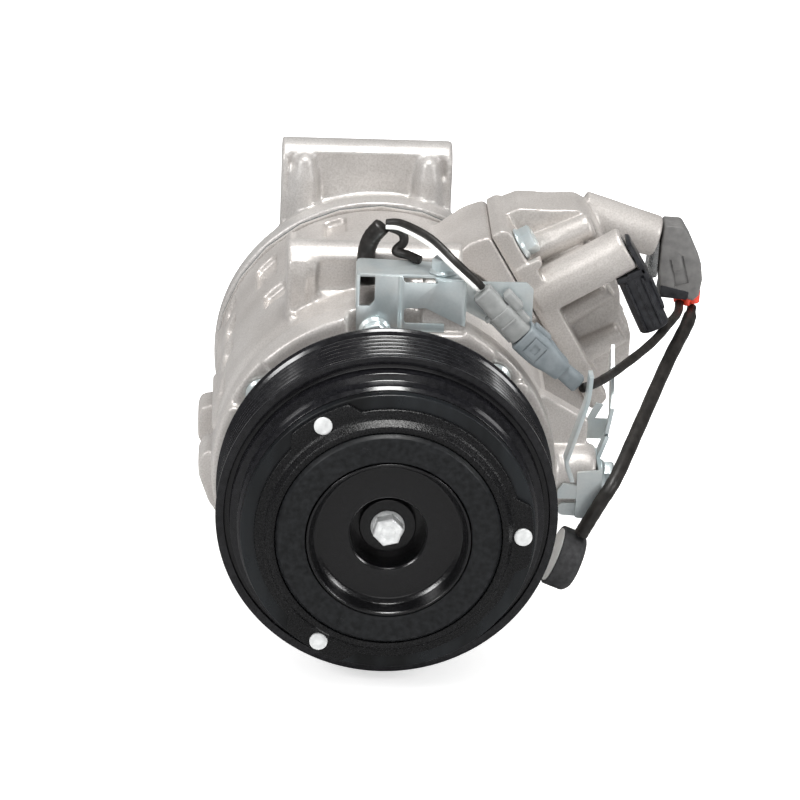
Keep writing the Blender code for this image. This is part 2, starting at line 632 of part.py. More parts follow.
for i, (x, z) in enumerate(BOLT_AT):
    d = 1.9 if i == 1 else 0.0         # this one also clamps the wiring bracket
    b = join(cyl_y(x, z, 6.3, 41.2 + d, 42.1 + d, 14), cyl_y(x, z, 5.4, 37.4 + d, 41.3 + d, 6),
             cyl_y(x, z, 2.9, 42.0 + d, 179.6, N_HOLE))
    finish(b, "through_bolt_%d" % (i + 1), "zinc", "housing")

# Control valve in the boss, its plunger and its connector.
cv = rod(ns(91, VALVE_S, VALVE_Y), ns(114.2, VALVE_S, VALVE_Y), 4.8, n=14)
cv = cut(cv, rod(ns(94, VALVE_S, VALVE_Y), ns(120, VALVE_S, VALVE_Y), 2.7, n=12))
finish(cv, "control_valve_body", "steel", "housing")
finish(rod(ns(97, VALVE_S, VALVE_Y), ns(110, VALVE_S, VALVE_Y), 2.2, n=12),
       "control_valve_plunger", "steel", "plunger_axis")
# end plate on the boss, then the body that hangs from it
vc = ns_prism("vc", [(114.8, -4.5), (116.6, -4.5), (116.6, 12.0), (114.8, 13.0)], 105.5, 118.5)
vc = join(vc, ns_prism("vc2", [(104.0, -0.6), (116.4, -3.2), (115.8, -7.5), (113.6, -24.6),
                               (103.0, -24.0)], 106, 118))
finish(vc, "valve_connector", "black_plastic", "housing", smooth=False)

# ------------------------------------------------- connectors and brackets
sp = xz_prism("sensor", [(110.4, 36.8), (122.9, 32.2), (126.0, 34.4), (126.9, 42.6), (126.0, 49.4),
                         (121.6, 58.7), (118.2, 64.4), (110.9, 64.7), (109.9, 57), (109.6, 45)], 144, 157)
finish(sp, "sensor_plug", "dark_grey_plastic", "housing", smooth=False)

T = 1.2                    # bracket sheet
# The front part is one bent strip: its plan along Z, trimmed to its front view.
plan = xy_prism("plan", [(-12.6, 44.3), (3.4, 44.3), (3.4, 40.2), (27.9, 40.2), (27.9, 49.1),
                         (53.2, 49.1), (53.2, 50.3), (26.7, 50.3), (26.7, 41.4), (4.6, 41.4),
                         (4.6, 45.5), (-12.6, 45.5)], 50, 78.2)
view = xz_prism("view", [(-12.4, 58.2), (-12.0, 49.0), (1.6, 49.0), (3.0, 56.9), (20.0, 56.9), (20.0, 60.0), (5.0, 60.0),
                         (5.0, 65.9), (13.0, 66.2), (28.2, 58.8), (28.2, 62.2), (41.6, 55.2),
                         (45.0, 54.2), (53.0, 53.6), (53.0, 71.3), (50.5, 73.8), (28.2, 73.6),
                         (27.0, 77.0), (17.0, 77.0), (17.0, 75.8), (5.0, 75.8), (4.2, 77.0),
                         (-5.8, 77.0), (-5.8, 67.0), (-7.6, 65.0), (-12.4, 65.0)], 38, 52)
wb = boolean(plan, view, "INTERSECT")
wb = join(wb, xy_prism("top", [(-12.2, 44.5), (16.2, 44.5), (16.2, 40.5), (27.3, 40.5), (27.3, 53.2),
                               (16.2, 53.2), (16.2, 59.2), (-12.2, 61.6)], 76.4, 76.4 + T))
wb = cut(wb, rod(W(19.3, 47.5, 74), W(19.3, 47.5, 80), 3.2, n=8),
         cyl_y(*BOLT_AT[1], 3.5, 40, 50, 12))
finish(wb, "wire_bracket", "zinc", "housing", smooth=False)
b = join(rod(W(19.3, 47.5, 77.9), W(19.3, 47.5, 79.1), 5.2, n=14),
         rod(W(19.3, 47.5, 79.0), W(19.3, 47.5, 83.6), 4.6, n=6),
         rod(W(19.3, 47.5, 64), W(19.3, 47.5, 78.2), 2.5, n=8))
finish(b, "wire_bracket_bolt", "zinc", "housing")

# Clutch lead: sleeve behind the bracket, then a wire pair to the plug.
finish(wire("sleeve", smooth_path([(-8.6, 61.2, 67.4), (-8.7, 63.8, 72), (-8.7, 66.4, 78), (-7.0, 66.2, 84),
                                   (-3.4, 65.2, 89.0)], 2), 2.7, 2), "coil_lead_sleeve", "cable_black", "housing")
finish(wire("wb", smooth_path([(-1.6, 64.6, 90.6), (4, 62, 91.4), (14.2, 51, 89.8), (23.5, 41, 84.1), (30.6, 41.0, 77.4), (33.4, 43.0, 74.2)], 3),
            1.15, 2), "coil_wire_black", "cable_black", "housing")
finish(wire("ww", smooth_path([(-1.8, 62.2, 89.4), (4, 59.6, 89.2), (13.2, 49.0, 87.2), (21.6, 39.3, 82.0), (28.6, 39.4, 75.6), (31.3, 42.8, 72.6)], 3),
            0.95, 2), "coil_wire_white", "wire_white", "housing")
finish(wire("gw", smooth_path([(-1.0, 66.8, 88.4), (4.0, 66.4, 86.4), (5.0, 65.4, 83.0), (2.2, 63.6, 79.9),
                               (6.5, 61.0, 78.9), (10.5, 56.5, 78.8)], 2), 0.95, 2),
       "ground_wire", "cable_black", "housing")

# Two-part connector lying along the housing's shoulder.
YC = 43.4
A, B, C, D = W(32.5, YC, 73.0), W(48.7, YC, 55.9), W(65.3, YC, 41.5), W(71.2, YC, 36.4)


def step(p, q, d):
    return Vector(p) + (Vector(q) - Vector(p)).normalized() * d * MM


pl = block(step(A, B, 1.2), step(B, A, 0.4), 8.3, 7.6, up=(0, 1, 0))
pl = join(pl, block(step(A, B, 11), step(B, A, 0.2), 9.6, 8.8, up=(0, 1, 0)))
finish(pl, "clutch_connector_plug", "light_grey_plastic", "housing", smooth=False)
so = block(step(B, C, 0.3), step(C, B, 1.0), 11.3, 9.8, up=(0, 1, 0))
so = join(so, block(step(C, B, 1.4), step(D, C, 0.4), 7.0, 6.6, up=(0, 1, 0)))
finish(so, "clutch_connector_socket", "blue_grey_plastic", "housing", smooth=False)

# Harness cables from the sensor plug.
finish(wire("ca", smooth_path([(119.0, 150.5, 31.2), (117.6, 140, 30.6), (112.5, 121, 33.0), (103.5, 102, 31.2),
                               (90.5, 80, 29.8), (80.5, 57, 32.8), (72.8, 43.6, 35.0)], 2), 1.6, 2),
       "cable_a", "cable_black", "housing")
finish(wire("cb", smooth_path([(124.2, 150.5, 28.8), (121.5, 140, 25.5), (112.0, 114, 19.5), (98.0, 74, 8.0),
                               (87.6, 46, -1.5), (81.4, 39.2, -9.4), (76.4, 37.6, -18.2)], 2), 2.4, 2),
       "cable_b", "cable_black", "housing")
u = Vector((0.932, -0.03, -0.36)).normalized()
pc = W(69.6, 41.0, -33.2)
rp = rod(pc - u * 4.8 * MM, pc + u * 4.8 * MM, 11.6, n=20)
finish(rp, "round_plug", "black_plastic", "housing")

# Side bracket on its boss, with its bolt, and the thin harness strip.
sb = xz_prism("plate", [(66, -16.2), (78.5, -17.6), (80.9, -16.4), (82.0, -13.5), (82.0, 2.0), (72.8, 1.4),
                        (72.8, -4.2), (66, -4.2)], 43.0, 44.4)
sb = join(sb, box(80.6, 82.0, 43.0, 66, -13.5, 2.0),
          block(W(81.3, 61, 0.4), W(84.6, 63, 8.6), 10, 1.4, up=(1, 0, 0)),
          block(W(84.3, 62.9, 8.0), W(86.5, 67, 16.4), 10, 1.4, up=(1, 0, 0)),
          block(W(86.5, 68.2, 15.4), W(87.3, 88.5, 33.6), 8, 1.3, up=(1, 0, 0)))
sb = cut(sb, rod(W(78, 57, -5.5), W(84, 57, -5.5), 3.2, n=8))
finish(sb, "side_bracket", "zinc", "housing", smooth=False)
b = join(rod(W(82.3, 57, -5.5), W(83.4, 57, -5.5), 6.2, n=14),
         rod(W(83.3, 57, -5.5), W(87.4, 57, -5.5), 5.6, n=6),
         rod(W(72.8, 57, -5.5), W(82.6, 57, -5.5), 2.5, n=8))
finish(b, "side_bracket_bolt", "zinc", "housing")
strip_pts = [(75.0, 43.2), (74.2, 33.5), (71.9, 24.5), (68.4, 12.0), (67.6, 8.0), (70.0, 1.0)]
loop = [(x + 0.65, z) for x, z in strip_pts] + [(x - 0.65, z) for x, z in reversed(strip_pts)]
finish(xz_prism("strip", loop, 33.5, 41.0), "harness_strip", "zinc", "housing", smooth=False)

# ------------------------------------------------------------------ tidy up
for ob in list(cutters.objects):
    bpy.data.objects.remove(ob, do_unlink=True)
bpy.data.collections.remove(cutters)
for me in list(bpy.data.meshes):
    if me.users == 0:
        bpy.data.meshes.remove(me)
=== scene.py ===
"""Looks of the air-conditioning compressor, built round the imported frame.

Stations are millimetres: x, distance along the shaft from the pulley's front rim, z.
"""
import bpy
import bmesh
from math import pi, sin, cos, tan, radians, sqrt, hypot, atan2
from mathutils import Matrix, Vector


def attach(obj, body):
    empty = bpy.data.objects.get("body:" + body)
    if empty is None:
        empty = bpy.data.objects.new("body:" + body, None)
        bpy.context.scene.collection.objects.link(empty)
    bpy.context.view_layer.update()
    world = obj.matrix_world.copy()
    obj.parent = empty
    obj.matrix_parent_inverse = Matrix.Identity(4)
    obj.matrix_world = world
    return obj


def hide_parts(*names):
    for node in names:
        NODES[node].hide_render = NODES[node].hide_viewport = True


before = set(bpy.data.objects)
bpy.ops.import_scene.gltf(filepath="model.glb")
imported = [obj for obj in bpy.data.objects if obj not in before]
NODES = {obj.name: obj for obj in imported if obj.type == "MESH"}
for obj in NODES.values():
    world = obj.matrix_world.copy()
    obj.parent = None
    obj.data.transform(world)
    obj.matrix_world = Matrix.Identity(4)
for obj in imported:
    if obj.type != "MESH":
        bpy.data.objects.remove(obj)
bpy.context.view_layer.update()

MM = 0.001
PAD = 212.0
scene = bpy.context.scene
coll = scene.collection


def W(x, y, z):
    return Vector((x * MM, (y - PAD) * MM, z * MM))


CA, SA = cos(radians(31)), sin(radians(31))


def ns(n, s, y):
    return W(n * CA - s * SA, y, n * SA + s * CA)


def polar(r, deg):
    return r * cos(radians(deg)), r * sin(radians(deg))


# ------------------------------------------------------------------ materials
class Nodes:
    """A short way to write a shader's node tree."""

    def __init__(self, name):
        self.m = bpy.data.materials.new(name)
        self.m.use_nodes = True
        self.t = self.m.node_tree
        self.b = self.t.nodes["Principled BSDF"]
        tc = self.t.nodes.new("ShaderNodeTexCoord")
        self.co = tc.outputs["Object"]

    def noise(self, scale, detail=2.0, rough=0.5, stretch=None):
        n = self.t.nodes.new("ShaderNodeTexNoise")
        n.inputs["Scale"].default_value = scale
        n.inputs["Detail"].default_value = detail
        n.inputs["Roughness"].default_value = rough
        if stretch is None:
            self.t.links.new(self.co, n.inputs["Vector"])
        else:
            mp = self.t.nodes.new("ShaderNodeMapping")
            mp.inputs["Scale"].default_value = stretch
            self.t.links.new(self.co, mp.inputs["Vector"])
            self.t.links.new(mp.outputs["Vector"], n.inputs["Vector"])
        return n.outputs["Fac"]

    def voronoi(self, scale):
        n = self.t.nodes.new("ShaderNodeTexVoronoi")
        n.inputs["Scale"].default_value = scale
        self.t.links.new(self.co, n.inputs["Vector"])
        return n.outputs["Distance"]

    def ramp(self, fac, stops):
        r = self.t.nodes.new("ShaderNodeValToRGB")
        e = r.color_ramp.elements
        while len(e) < len(stops):
            e.new(0.5)
        for k, (p, c) in zip(e, stops):
            k.position = p
            k.color = (*c, 1.0) if len(c) == 3 else c
        self.t.links.new(fac, r.inputs["Fac"])
        return r.outputs["Color"]

    def span(self, fac, a, b, lo=0.3, hi=0.7):
        r = self.t.nodes.new("ShaderNodeMapRange")
        r.inputs["From Min"].default_value = lo
        r.inputs["From Max"].default_value = hi
        r.inputs["To Min"].default_value = a
        r.inputs["To Max"].default_value = b
        self.t.links.new(fac, r.inputs["Value"])
        return r.outputs["Result"]

    def mul(self, a, b, fac=1.0):
        x = self.t.nodes.new("ShaderNodeMix")
        x.data_type = "RGBA"
        x.blend_type = "MULTIPLY"
        x.inputs["Factor"].default_value = fac
        self.t.links.new(a, x.inputs["A"])
        self.t.links.new(b, x.inputs["B"])
        return x.outputs["Result"]

    def bump(self, *layers):
        """Each layer is (height, distance in metres, strength)."""
        last = None
        for h, d, s in layers:
            b = self.t.nodes.new("ShaderNodeBump")
            b.inputs["Distance"].default_value = d
            b.inputs["Strength"].default_value = s
            self.t.links.new(h, b.inputs["Height"])
            if last is not None:
                self.t.links.new(last, b.inputs["Normal"])
            last = b.outputs["Normal"]
        self.t.links.new(last, self.b.inputs["Normal"])

    def put(self, **kw):
        names = {"color": "Base Color", "rough": "Roughness", "metal": "Metallic", "coat": "Coat Weight",
                 "coat_rough": "Coat Roughness", "spec": "Specular IOR Level", "aniso": "Anisotropic"}
        for k, v in kw.items():
            s = self.b.inputs[names[k]]
            if isinstance(v, bpy.types.NodeSocket):
                self.t.links.new(v, s)
            elif k == "color":
                s.default_value = (*v, 1.0)
            else:
                s.default_value = v


def cast_material(name, light, dark, metal=0.5, rough=(0.32, 0.46)):
    n = Nodes(name)
    broad = n.ramp(n.noise(38, 3), [(0.32, dark), (0.68, light)])
    grain = n.ramp(n.noise(1500, 2, 0.6), [(0.3, (0.80, 0.79, 0.78)), (0.62, (1.0, 1.0, 1.0))])
    n.put(color=n.mul(broad, grain), metal=metal, rough=n.span(n.noise(900, 2), *rough))
    n.bump((n.noise(260, 3), 0.0004, 0.10), (n.noise(1300, 2, 0.6), 0.00022, 0.32))
    return n.m


def gloss_black():
    n = Nodes("black_gloss")
    n.put(color=n.ramp(n.noise(700, 2), [(0.35, (0.004, 0.004, 0.005)), (0.75, (0.012, 0.012, 0.014))]),
          metal=0.0, rough=n.span(n.noise(300, 2), 0.15, 0.24), coat=0.4, coat_rough=0.10, spec=0.5)
    n.bump((n.noise(420, 2), 0.00008, 0.06), (n.noise(3000, 1), 0.00004, 0.08))
    return n.m


def coarse_black():
    n = Nodes("black_coarse")
    n.put(color=n.ramp(n.noise(1400, 2), [(0.35, (0.002, 0.002, 0.0024)), (0.8, (0.009, 0.009, 0.010))]),
          metal=0.0, rough=n.span(n.noise(1500, 2), 0.20, 0.36), spec=0.45)
    n.bump((n.noise(1700, 3, 0.65), 0.00035, 0.45), (n.voronoi(1500), 0.00015, 0.2))
    return n.m


def hub_black():
    n = Nodes("black_hub")
    n.put(color=n.ramp(n.noise(1400, 2), [(0.35, (0.002, 0.002, 0.0024)), (0.8, (0.008, 0.008, 0.009))]),
          metal=0.0, rough=n.span(n.noise(900, 2), 0.16, 0.26), coat=0.3, coat_rough=0.14, spec=0.6)
    n.bump((n.noise(1500, 3, 0.65), 0.0002, 0.22), (n.voronoi(1300), 0.00012, 0.12))
    return n.m


def armature_black():
    n = Nodes("armature_grey_black")
    c = n.ramp(n.noise(9, 3, 0.6, (6, 1, 1)), [(0.35, (0.004, 0.0045, 0.005)), (0.7, (0.016, 0.019, 0.022))])
    n.put(color=c, metal=0.2, rough=n.span(n.noise(200, 3), 0.26, 0.40), spec=0.5)
    n.bump((n.noise(1400, 2), 0.0001, 0.12))
    return n.m


def rubber_black(name="rubber", c0=(0.005, 0.0055, 0.006), c1=(0.012, 0.013, 0.0145), rough=(0.34, 0.46)):
    n = Nodes(name)
    n.put(color=n.ramp(n.noise(500, 3), [(0.3, c0), (0.7, c1)]), rough=n.span(n.noise(800, 2), *rough), spec=0.3)
    n.bump((n.noise(1100, 3), 0.00012, 0.22))
    return n.m


def zinc():
    n = Nodes("zinc")
    c = n.ramp(n.noise(60, 3), [(0.25, (0.58, 0.68, 0.70)), (0.5, (0.70, 0.76, 0.77)), (0.8, (0.78, 0.80, 0.78))])
    g = n.ramp(n.noise(900, 2, 0.5), [(0.3, (0.95, 0.955, 0.96)), (0.65, (1, 1, 1))])
    n.put(color=n.mul(c, g), metal=0.7, rough=n.span(n.noise(400, 2), 0.28, 0.33))
    n.bump((n.noise(150, 2), 0.0004, 0.05))
    return n.m


def bright_steel(name="bright_steel", rough=(0.20, 0.34), metal=1.0):
    n = Nodes(name)
    n.put(color=n.ramp(n.noise(400, 3), [(0.3, (0.55, 0.56, 0.56)), (0.7, (0.78, 0.79, 0.79))]),
          metal=metal, rough=n.span(n.noise(1500, 2), *rough))
    n.bump((n.noise(1600, 2, 0.6), 0.00015, 0.35))
    return n.m


def plastic(name, c0, c1, rough=(0.42, 0.55), grain=0.18):
    n = Nodes(name)
    n.put(color=n.ramp(n.noise(350, 3), [(0.3, c0), (0.7, c1)]), rough=n.span(n.noise(900, 2), *rough), spec=0.45)
    n.bump((n.noise(2000, 2), 0.0001, grain))
    return n.m


def sheath():
    n = Nodes("cable_sheath")
    n.put(color=n.ramp(n.noise(260, 3), [(0.3, (0.008, 0.007, 0.006)), (0.75, (0.024, 0.021, 0.019))]),
          rough=n.span(n.noise(700, 3), 0.34, 0.52), spec=0.5)
    n.bump((n.noise(420, 3), 0.0003, 0.25), (n.noise(2400, 1), 0.0001, 0.2))
    return n.m


def copper():
    n = Nodes("copper_winding")
    wv = n.t.nodes.new("ShaderNodeTexWave")
    wv.bands_direction = "Y"
    wv.inputs["Scale"].default_value = 500
    n.t.links.new(n.co, wv.inputs["Vector"])
    n.put(color=n.ramp(wv.outputs["Fac"], [(0.1, (0.14, 0.04, 0.015)), (0.8, (0.50, 0.19, 0.08))]),
          metal=0.5, rough=n.span(n.noise(500, 2), 0.3, 0.45))
    n.bump((wv.outputs["Fac"], 0.0003, 0.5))
    return n.m


M = {
    "cast": cast_material("cast_aluminium", (0.63, 0.605, 0.585), (0.53, 0.503, 0.482)),
    "cast_rear": cast_material("cast_aluminium_rear", (0.61, 0.592, 0.577), (0.51, 0.49, 0.474)),
    "cast_block": cast_material("cast_aluminium_block", (0.62, 0.592, 0.57), (0.52, 0.49, 0.468)),
    "cast_port": cast_material("cast_aluminium_port", (0.63, 0.60, 0.575), (0.525, 0.496, 0.472)),
    "plug_black": rubber_black("plug_black", (0.020, 0.020, 0.021), (0.040, 0.040, 0.042), (0.5, 0.62)),
    "gloss": gloss_black(),
    "coarse": coarse_black(),
    "armature": armature_black(),
    "rubber": rubber_black(),
    "zinc": zinc(),
    "steel": bright_steel(),
    "ground": bright_steel("ground_steel", (0.16, 0.26)),
    "rivet": bright_steel("rivet_steel", (0.35, 0.5), 0.35),
    "hub_black": hub_black(),
    "light_grey": plastic("plastic_light_grey", (0.20, 0.207, 0.204), (0.255, 0.262, 0.258)),
    "blue_grey": plastic("plastic_blue_grey", (0.135, 0.158, 0.17), (0.18, 0.203, 0.215)),
    "dark_grey": plastic("plastic_dark_grey", (0.105, 0.103, 0.101), (0.145, 0.142, 0.139), (0.5, 0.65), 0.35),
    "black_plastic": plastic("plastic_black", (0.010, 0.010, 0.012), (0.026, 0.027, 0.031), (0.28, 0.4), 0.15),
    "white": plastic("wire_white", (0.74, 0.74, 0.72), (0.84, 0.84, 0.82), (0.35, 0.5), 0.1),
    "red": plastic("seal_red", (0.55, 0.03, 0.012), (0.70, 0.05, 0.02), (0.4, 0.5), 0.1),
    "sheath": sheath(),
    "copper": copper(),
    "gasket": rubber_black("gasket", (0.09, 0.10, 0.10), (0.15, 0.16, 0.16), (0.55, 0.7)),
}


# -------------------------------------------------------------------- helpers
def put(name, me):
    o = bpy.data.objects.new(name, me)
    coll.objects.link(o)
    return o


def from_bm(bm, name="t"):
    bmesh.ops.recalc_face_normals(bm, faces=bm.faces)
    me = bpy.data.meshes.new(name)
    bm.to_mesh(me)
    bm.free()
    return put(name, me)


def applied(ob):
    """The object with its modifiers applied and its transform in the mesh."""
    bpy.context.view_layer.update()
    dg = bpy.context.evaluated_depsgraph_get()
    me = bpy.data.meshes.new_from_object(ob.evaluated_get(dg))
    me.transform(ob.matrix_world)
    name = ob.name
    bpy.data.objects.remove(ob, do_unlink=True)
    return put(name, me)


def clean(ob, dist=2e-6):
    bm = bmesh.new()
    bm.from_mesh(ob.data)
    bmesh.ops.remove_doubles(bm, verts=bm.verts, dist=dist)
    bmesh.ops.dissolve_degenerate(bm, edges=bm.edges, dist=1e-6)
    bmesh.ops.recalc_face_normals(bm, faces=bm.faces)
    bm.to_mesh(ob.data)
    bm.free()
    return ob


def rounded(pts, closed=True, seg=4, default=0.0):
    """An outline whose corners (u, v) or (u, v, radius) are filleted."""
    out, n = [], len(pts)
    for i, p in enumerate(pts):
        r = p[2] if len(p) > 2 else default
        p0 = Vector((p[0], p[1]))
        if r <= 0 or (not closed and i in (0, n - 1)):
            out.append((p0.x, p0.y))
            continue
        a, b = Vector(pts[i - 1][:2]), Vector(pts[(i + 1) % n][:2])
        v1, v2 = a - p0, b - p0
        l1, l2 = v1.length, v2.length
        v1.normalize()
        v2.normalize()
        ang = v1.angle(v2)
        if ang > radians(174) or ang < radians(4):
            out.append((p0.x, p0.y))
            continue
        d = min(r / tan(ang / 2), l1 * 0.46, l2 * 0.46)
        rr = d * tan(ang / 2)
        c = p0 + (v1 + v2).normalized() * (rr / sin(ang / 2))
        s, e = p0 + v1 * d, p0 + v2 * d
        a0, a1 = atan2(s.y - c.y, s.x - c.x), atan2(e.y - c.y, e.x - c.x)
        da = (a1 - a0 + pi) % (2 * pi) - pi
        out += [(c.x + rr * cos(a0 + da * k / seg), c.y + rr * sin(a0 + da * k / seg)) for k in range(seg + 1)]
    return out


def axes(p0, p1, up=(0, 0, 1)):
    ez = (Vector(p1) - Vector(p0)).normalized()
    u = Vector(up)
    if abs(ez.dot(u.normalized())) > 0.95:
        u = Vector((0, 1, 0))
    ex = u.cross(ez).normalized()
    return ex, ez.cross(ex), ez


def turned(prof, p0, p1, seg=48, name="turned", phase=0.0):
    """Turn an outline of (radius, distance) in mm about the line p0 to p1."""
    ex, ey, ez = axes(p0, p1)
    p0 = Vector(p0)
    bm = bmesh.new()
    rings = []
    for r, d in prof:
        c = p0 + ez * d * MM
        if r < 1e-6:
            v = bm.verts.new(c)
            rings.append([v] * seg)
        else:
            rings.append([bm.verts.new(c + (ex * cos(t) + ey * sin(t)) * r * MM)
                          for t in (2 * pi * k / seg + phase for k in range(seg))])
    n = len(prof)
    for i in range(n):
        a, b = rings[i], rings[(i + 1) % n]
        if a[0] is a[1] and b[0] is b[1]:
            continue
        for k in range(seg):
            m = (k + 1) % seg
            vs = []
            for v in (a[k], a[m], b[m], b[k]):
                if v not in vs:
                    vs.append(v)
            if len(vs) > 2:
                bm.faces.new(vs)
    return from_bm(bm, name)


def lathe(prof, seg=160, name="lathe"):
    return turned(prof, W(0, 0, 0), W(0, 1, 0), seg, name)


def rod(p0, p1, r0, r1=None, seg=40, edge=0.0, name="rod"):
    r1 = r0 if r1 is None else r1
    length = (Vector(p1) - Vector(p0)).length / MM
    return turned(rounded([(0, 0), (r0, 0, edge), (r1, length, edge), (0, length)], closed=False, seg=3),
                  p0, p1, seg, name)


def cyl_y(x, z, r, y0, y1, seg=40, edge=0.0):
    return rod(W(x, y0, z), W(x, y1, z), r, seg=seg, edge=edge)


def cyl_x(y, z, r, x0, x1, seg=40, edge=0.0):
    return rod(W(x0, y, z), W(x1, y, z), r, seg=seg, edge=edge)


def box(x0, x1, y0, y1, z0, z1):
    bm = bmesh.new()
    bmesh.ops.create_cube(bm, size=1.0)
    bmesh.ops.scale(bm, vec=Vector((x1 - x0, y1 - y0, z1 - z0)) * MM, verts=bm.verts)
    bmesh.ops.translate(bm, vec=W((x0 + x1) / 2, (y0 + y1) / 2, (z0 + z1) / 2), verts=bm.verts)
    return from_bm(bm, "box")


def bar(p0, p1, width, height, up=(0, 0, 1)):
    ex, ey, ez = axes(p0, p1, up)
    length = (Vector(p1) - Vector(p0)).length
    bm = bmesh.new()
    bmesh.ops.create_cube(bm, size=1.0)
    for v in bm.verts:
        v.co = Vector(p0) + ex * v.co.x * width * MM + ey * v.co.y * height * MM + ez * (v.co.z + 0.5) * length
    return from_bm(bm, "bar")


def prism(outline, origin, ex, ey, t, holes=(), edge=0.0, seg=2, name="prism"):
    """An outline (mm) in the plane of ex, ey through origin, t thick about it."""
    ex, ey = Vector(ex).normalized(), Vector(ey).normalized()
    ez = ex.cross(ey)
    cu = bpy.data.curves.new(name, "CURVE")
    cu.dimensions = "2D"
    cu.fill_mode = "BOTH"
    cu.extrude = (t / 2 - edge) * MM
    if edge:
        cu.bevel_depth = edge * MM
        cu.bevel_resolution = seg - 1
        cu.offset = -edge * MM
    for loop in (outline, *holes):
        sp = cu.splines.new("POLY")
        sp.points.add(len(loop) - 1)
        for p, (u, v) in zip(sp.points, loop):
            p.co = (u * MM, v * MM, 0, 1)
        sp.use_cyclic_u = True
    ob = put(name, cu)
    m = Matrix.Identity(4)
    for i, v in enumerate((ex, ey, ez)):
        m[0][i], m[1][i], m[2][i] = v
    m.translation = Vector(origin)
    ob.matrix_world = m
    return clean(applied(ob))


def xz_prism(outline, y0, y1, holes=(), edge=0.0, seg=2):
    return prism(outline, W(0, (y0 + y1) / 2, 0), (1, 0, 0), (0, 0, 1), y1 - y0, holes, edge, seg)


def ns_prism(outline, y0, y1, holes=(), edge=0.0, seg=2):
    return prism(outline, W(0, (y0 + y1) / 2, 0), (CA, 0, SA), (-SA, 0, CA), y1 - y0, holes, edge, seg)


def yz_prism(outline, x0, x1, holes=(), edge=0.0, seg=2):
    return prism(outline, Vector(((x0 + x1) / 2 * MM, -PAD * MM, 0)), (0, 1, 0), (0, 0, 1), x1 - x0, holes, edge, seg)


def xy_prism(outline, z0, z1, holes=(), edge=0.0, seg=2):
    return prism(outline, Vector((0, -PAD * MM, (z0 + z1) / 2 * MM)), (1, 0, 0), (0, 1, 0), z1 - z0, holes, edge, seg)


def spline(ctrl, per=10):
    out = []
    for i in range(len(ctrl) - 1):
        p0, p1, p2, p3 = ctrl[max(i - 1, 0)], ctrl[i], ctrl[i + 1], ctrl[min(i + 2, len(ctrl) - 1)]
        for k in range(per):
            t = k / per
            out.append(tuple(0.5 * (2 * b + (c - a) * t + (2 * a - 5 * b + 4 * c - d) * t * t
                                    + (3 * b - a - 3 * c + d) * t ** 3) for a, b, c, d in zip(p0, p1, p2, p3)))
    out.append(tuple(ctrl[-1]))
    return out


def tube(pts, r, seg=20, radii=None):
    """A round tube along points (stations), closed by domed ends."""
    P = [W(*p) for p in pts]
    n = len(P)
    bm = bmesh.new()
    rings = []
    ex = None
    for i, p in enumerate(P):
        t = (P[min(i + 1, n - 1)] - P[max(i - 1, 0)]).normalized()
        if ex is None:
            ex = t.orthogonal().normalized()
        ex = (ex - t * ex.dot(t)).normalized()
        ey = t.cross(ex)
        rr = (radii[i] if radii else r) * MM
        rings.append([bm.verts.new(p + (ex * cos(a) + ey * sin(a)) * rr)
                      for a in (2 * pi * k / seg for k in range(seg))])
    for a, b in zip(rings, rings[1:]):
        for k in range(seg):
            m = (k + 1) % seg
            bm.faces.new((a[k], a[m], b[m], b[k]))
    for ring, c, d in ((rings[0], P[0], P[0] - P[1]), (rings[-1], P[-1], P[-1] - P[-2])):
        v = bm.verts.new(c + d.normalized() * 0.25 * MM)
        for k in range(seg):
            bm.faces.new((ring[k], ring[(k + 1) % seg], v))
    return from_bm(bm, "tube")


def boolean(a, b, op, solver="MANIFOLD"):
    m = a.modifiers.new("bool", "BOOLEAN")
    m.operation = op
    m.object = b
    m.solver = solver
    b.hide_render = True
    r = applied(a)
    bpy.data.objects.remove(b, do_unlink=True)
    return r


def join(a, *more):
    for b in more:
        a = boolean(a, b, "UNION")
    return a


def cut(a, *more):
    for b in more:
        a = boolean(a, b, "DIFFERENCE")
    return a


def merged(*obs):
    """Several closed solids in one mesh, without a Boolean."""
    bm = bmesh.new()
    for o in obs:
        bm.from_mesh(o.data)
        bpy.data.objects.remove(o, do_unlink=True)
    me = bpy.data.meshes.new("merged")
    bm.to_mesh(me)
    bm.free()
    return put("merged", me)


def eased(ob, w, seg=2, angle=38):
    """Bevelled edges, applied."""
    b = ob.modifiers.new("b", "BEVEL")
    b.width = w * MM
    b.segments = seg
    b.limit_method = "ANGLE"
    b.angle_limit = radians(angle)
    b.use_clamp_overlap = True
    return applied(ob)


def cast(ob, voxel=0.85, smooth=8, cap=176000):
    """Voxel remesh and smooth: soft fillets as in a casting."""
    m = ob.modifiers.new("r", "REMESH")
    m.mode = "VOXEL"
    m.voxel_size = voxel * MM
    s = ob.modifiers.new("s", "SMOOTH")
    s.factor = 0.5
    s.iterations = smooth
    ob = applied(ob)
    tris = 2 * len(ob.data.polygons)
    if tris > cap:
        d = ob.modifiers.new("d", "DECIMATE")
        d.ratio = cap / tris
        ob = applied(ob)
    return ob


def done(ob, name, body, mat, nodes=(), smooth=True, angle=32):
    ob.name = name
    ob.data.name = name
    ob.data.materials.clear()
    ob.data.materials.append(M[mat])
    if smooth:
        ob.data.shade_smooth()
        if angle:
            ob.data.set_sharp_from_angle(angle=radians(angle))
    else:
        ob.data.shade_flat()
    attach(ob, body)
    if nodes:
        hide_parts(*nodes)
    return ob


def circle(r, cx=0.0, cy=0.0, n=40):
    return [(cx + r * cos(2 * pi * i / n), cy + r * sin(2 * pi * i / n)) for i in range(n)]


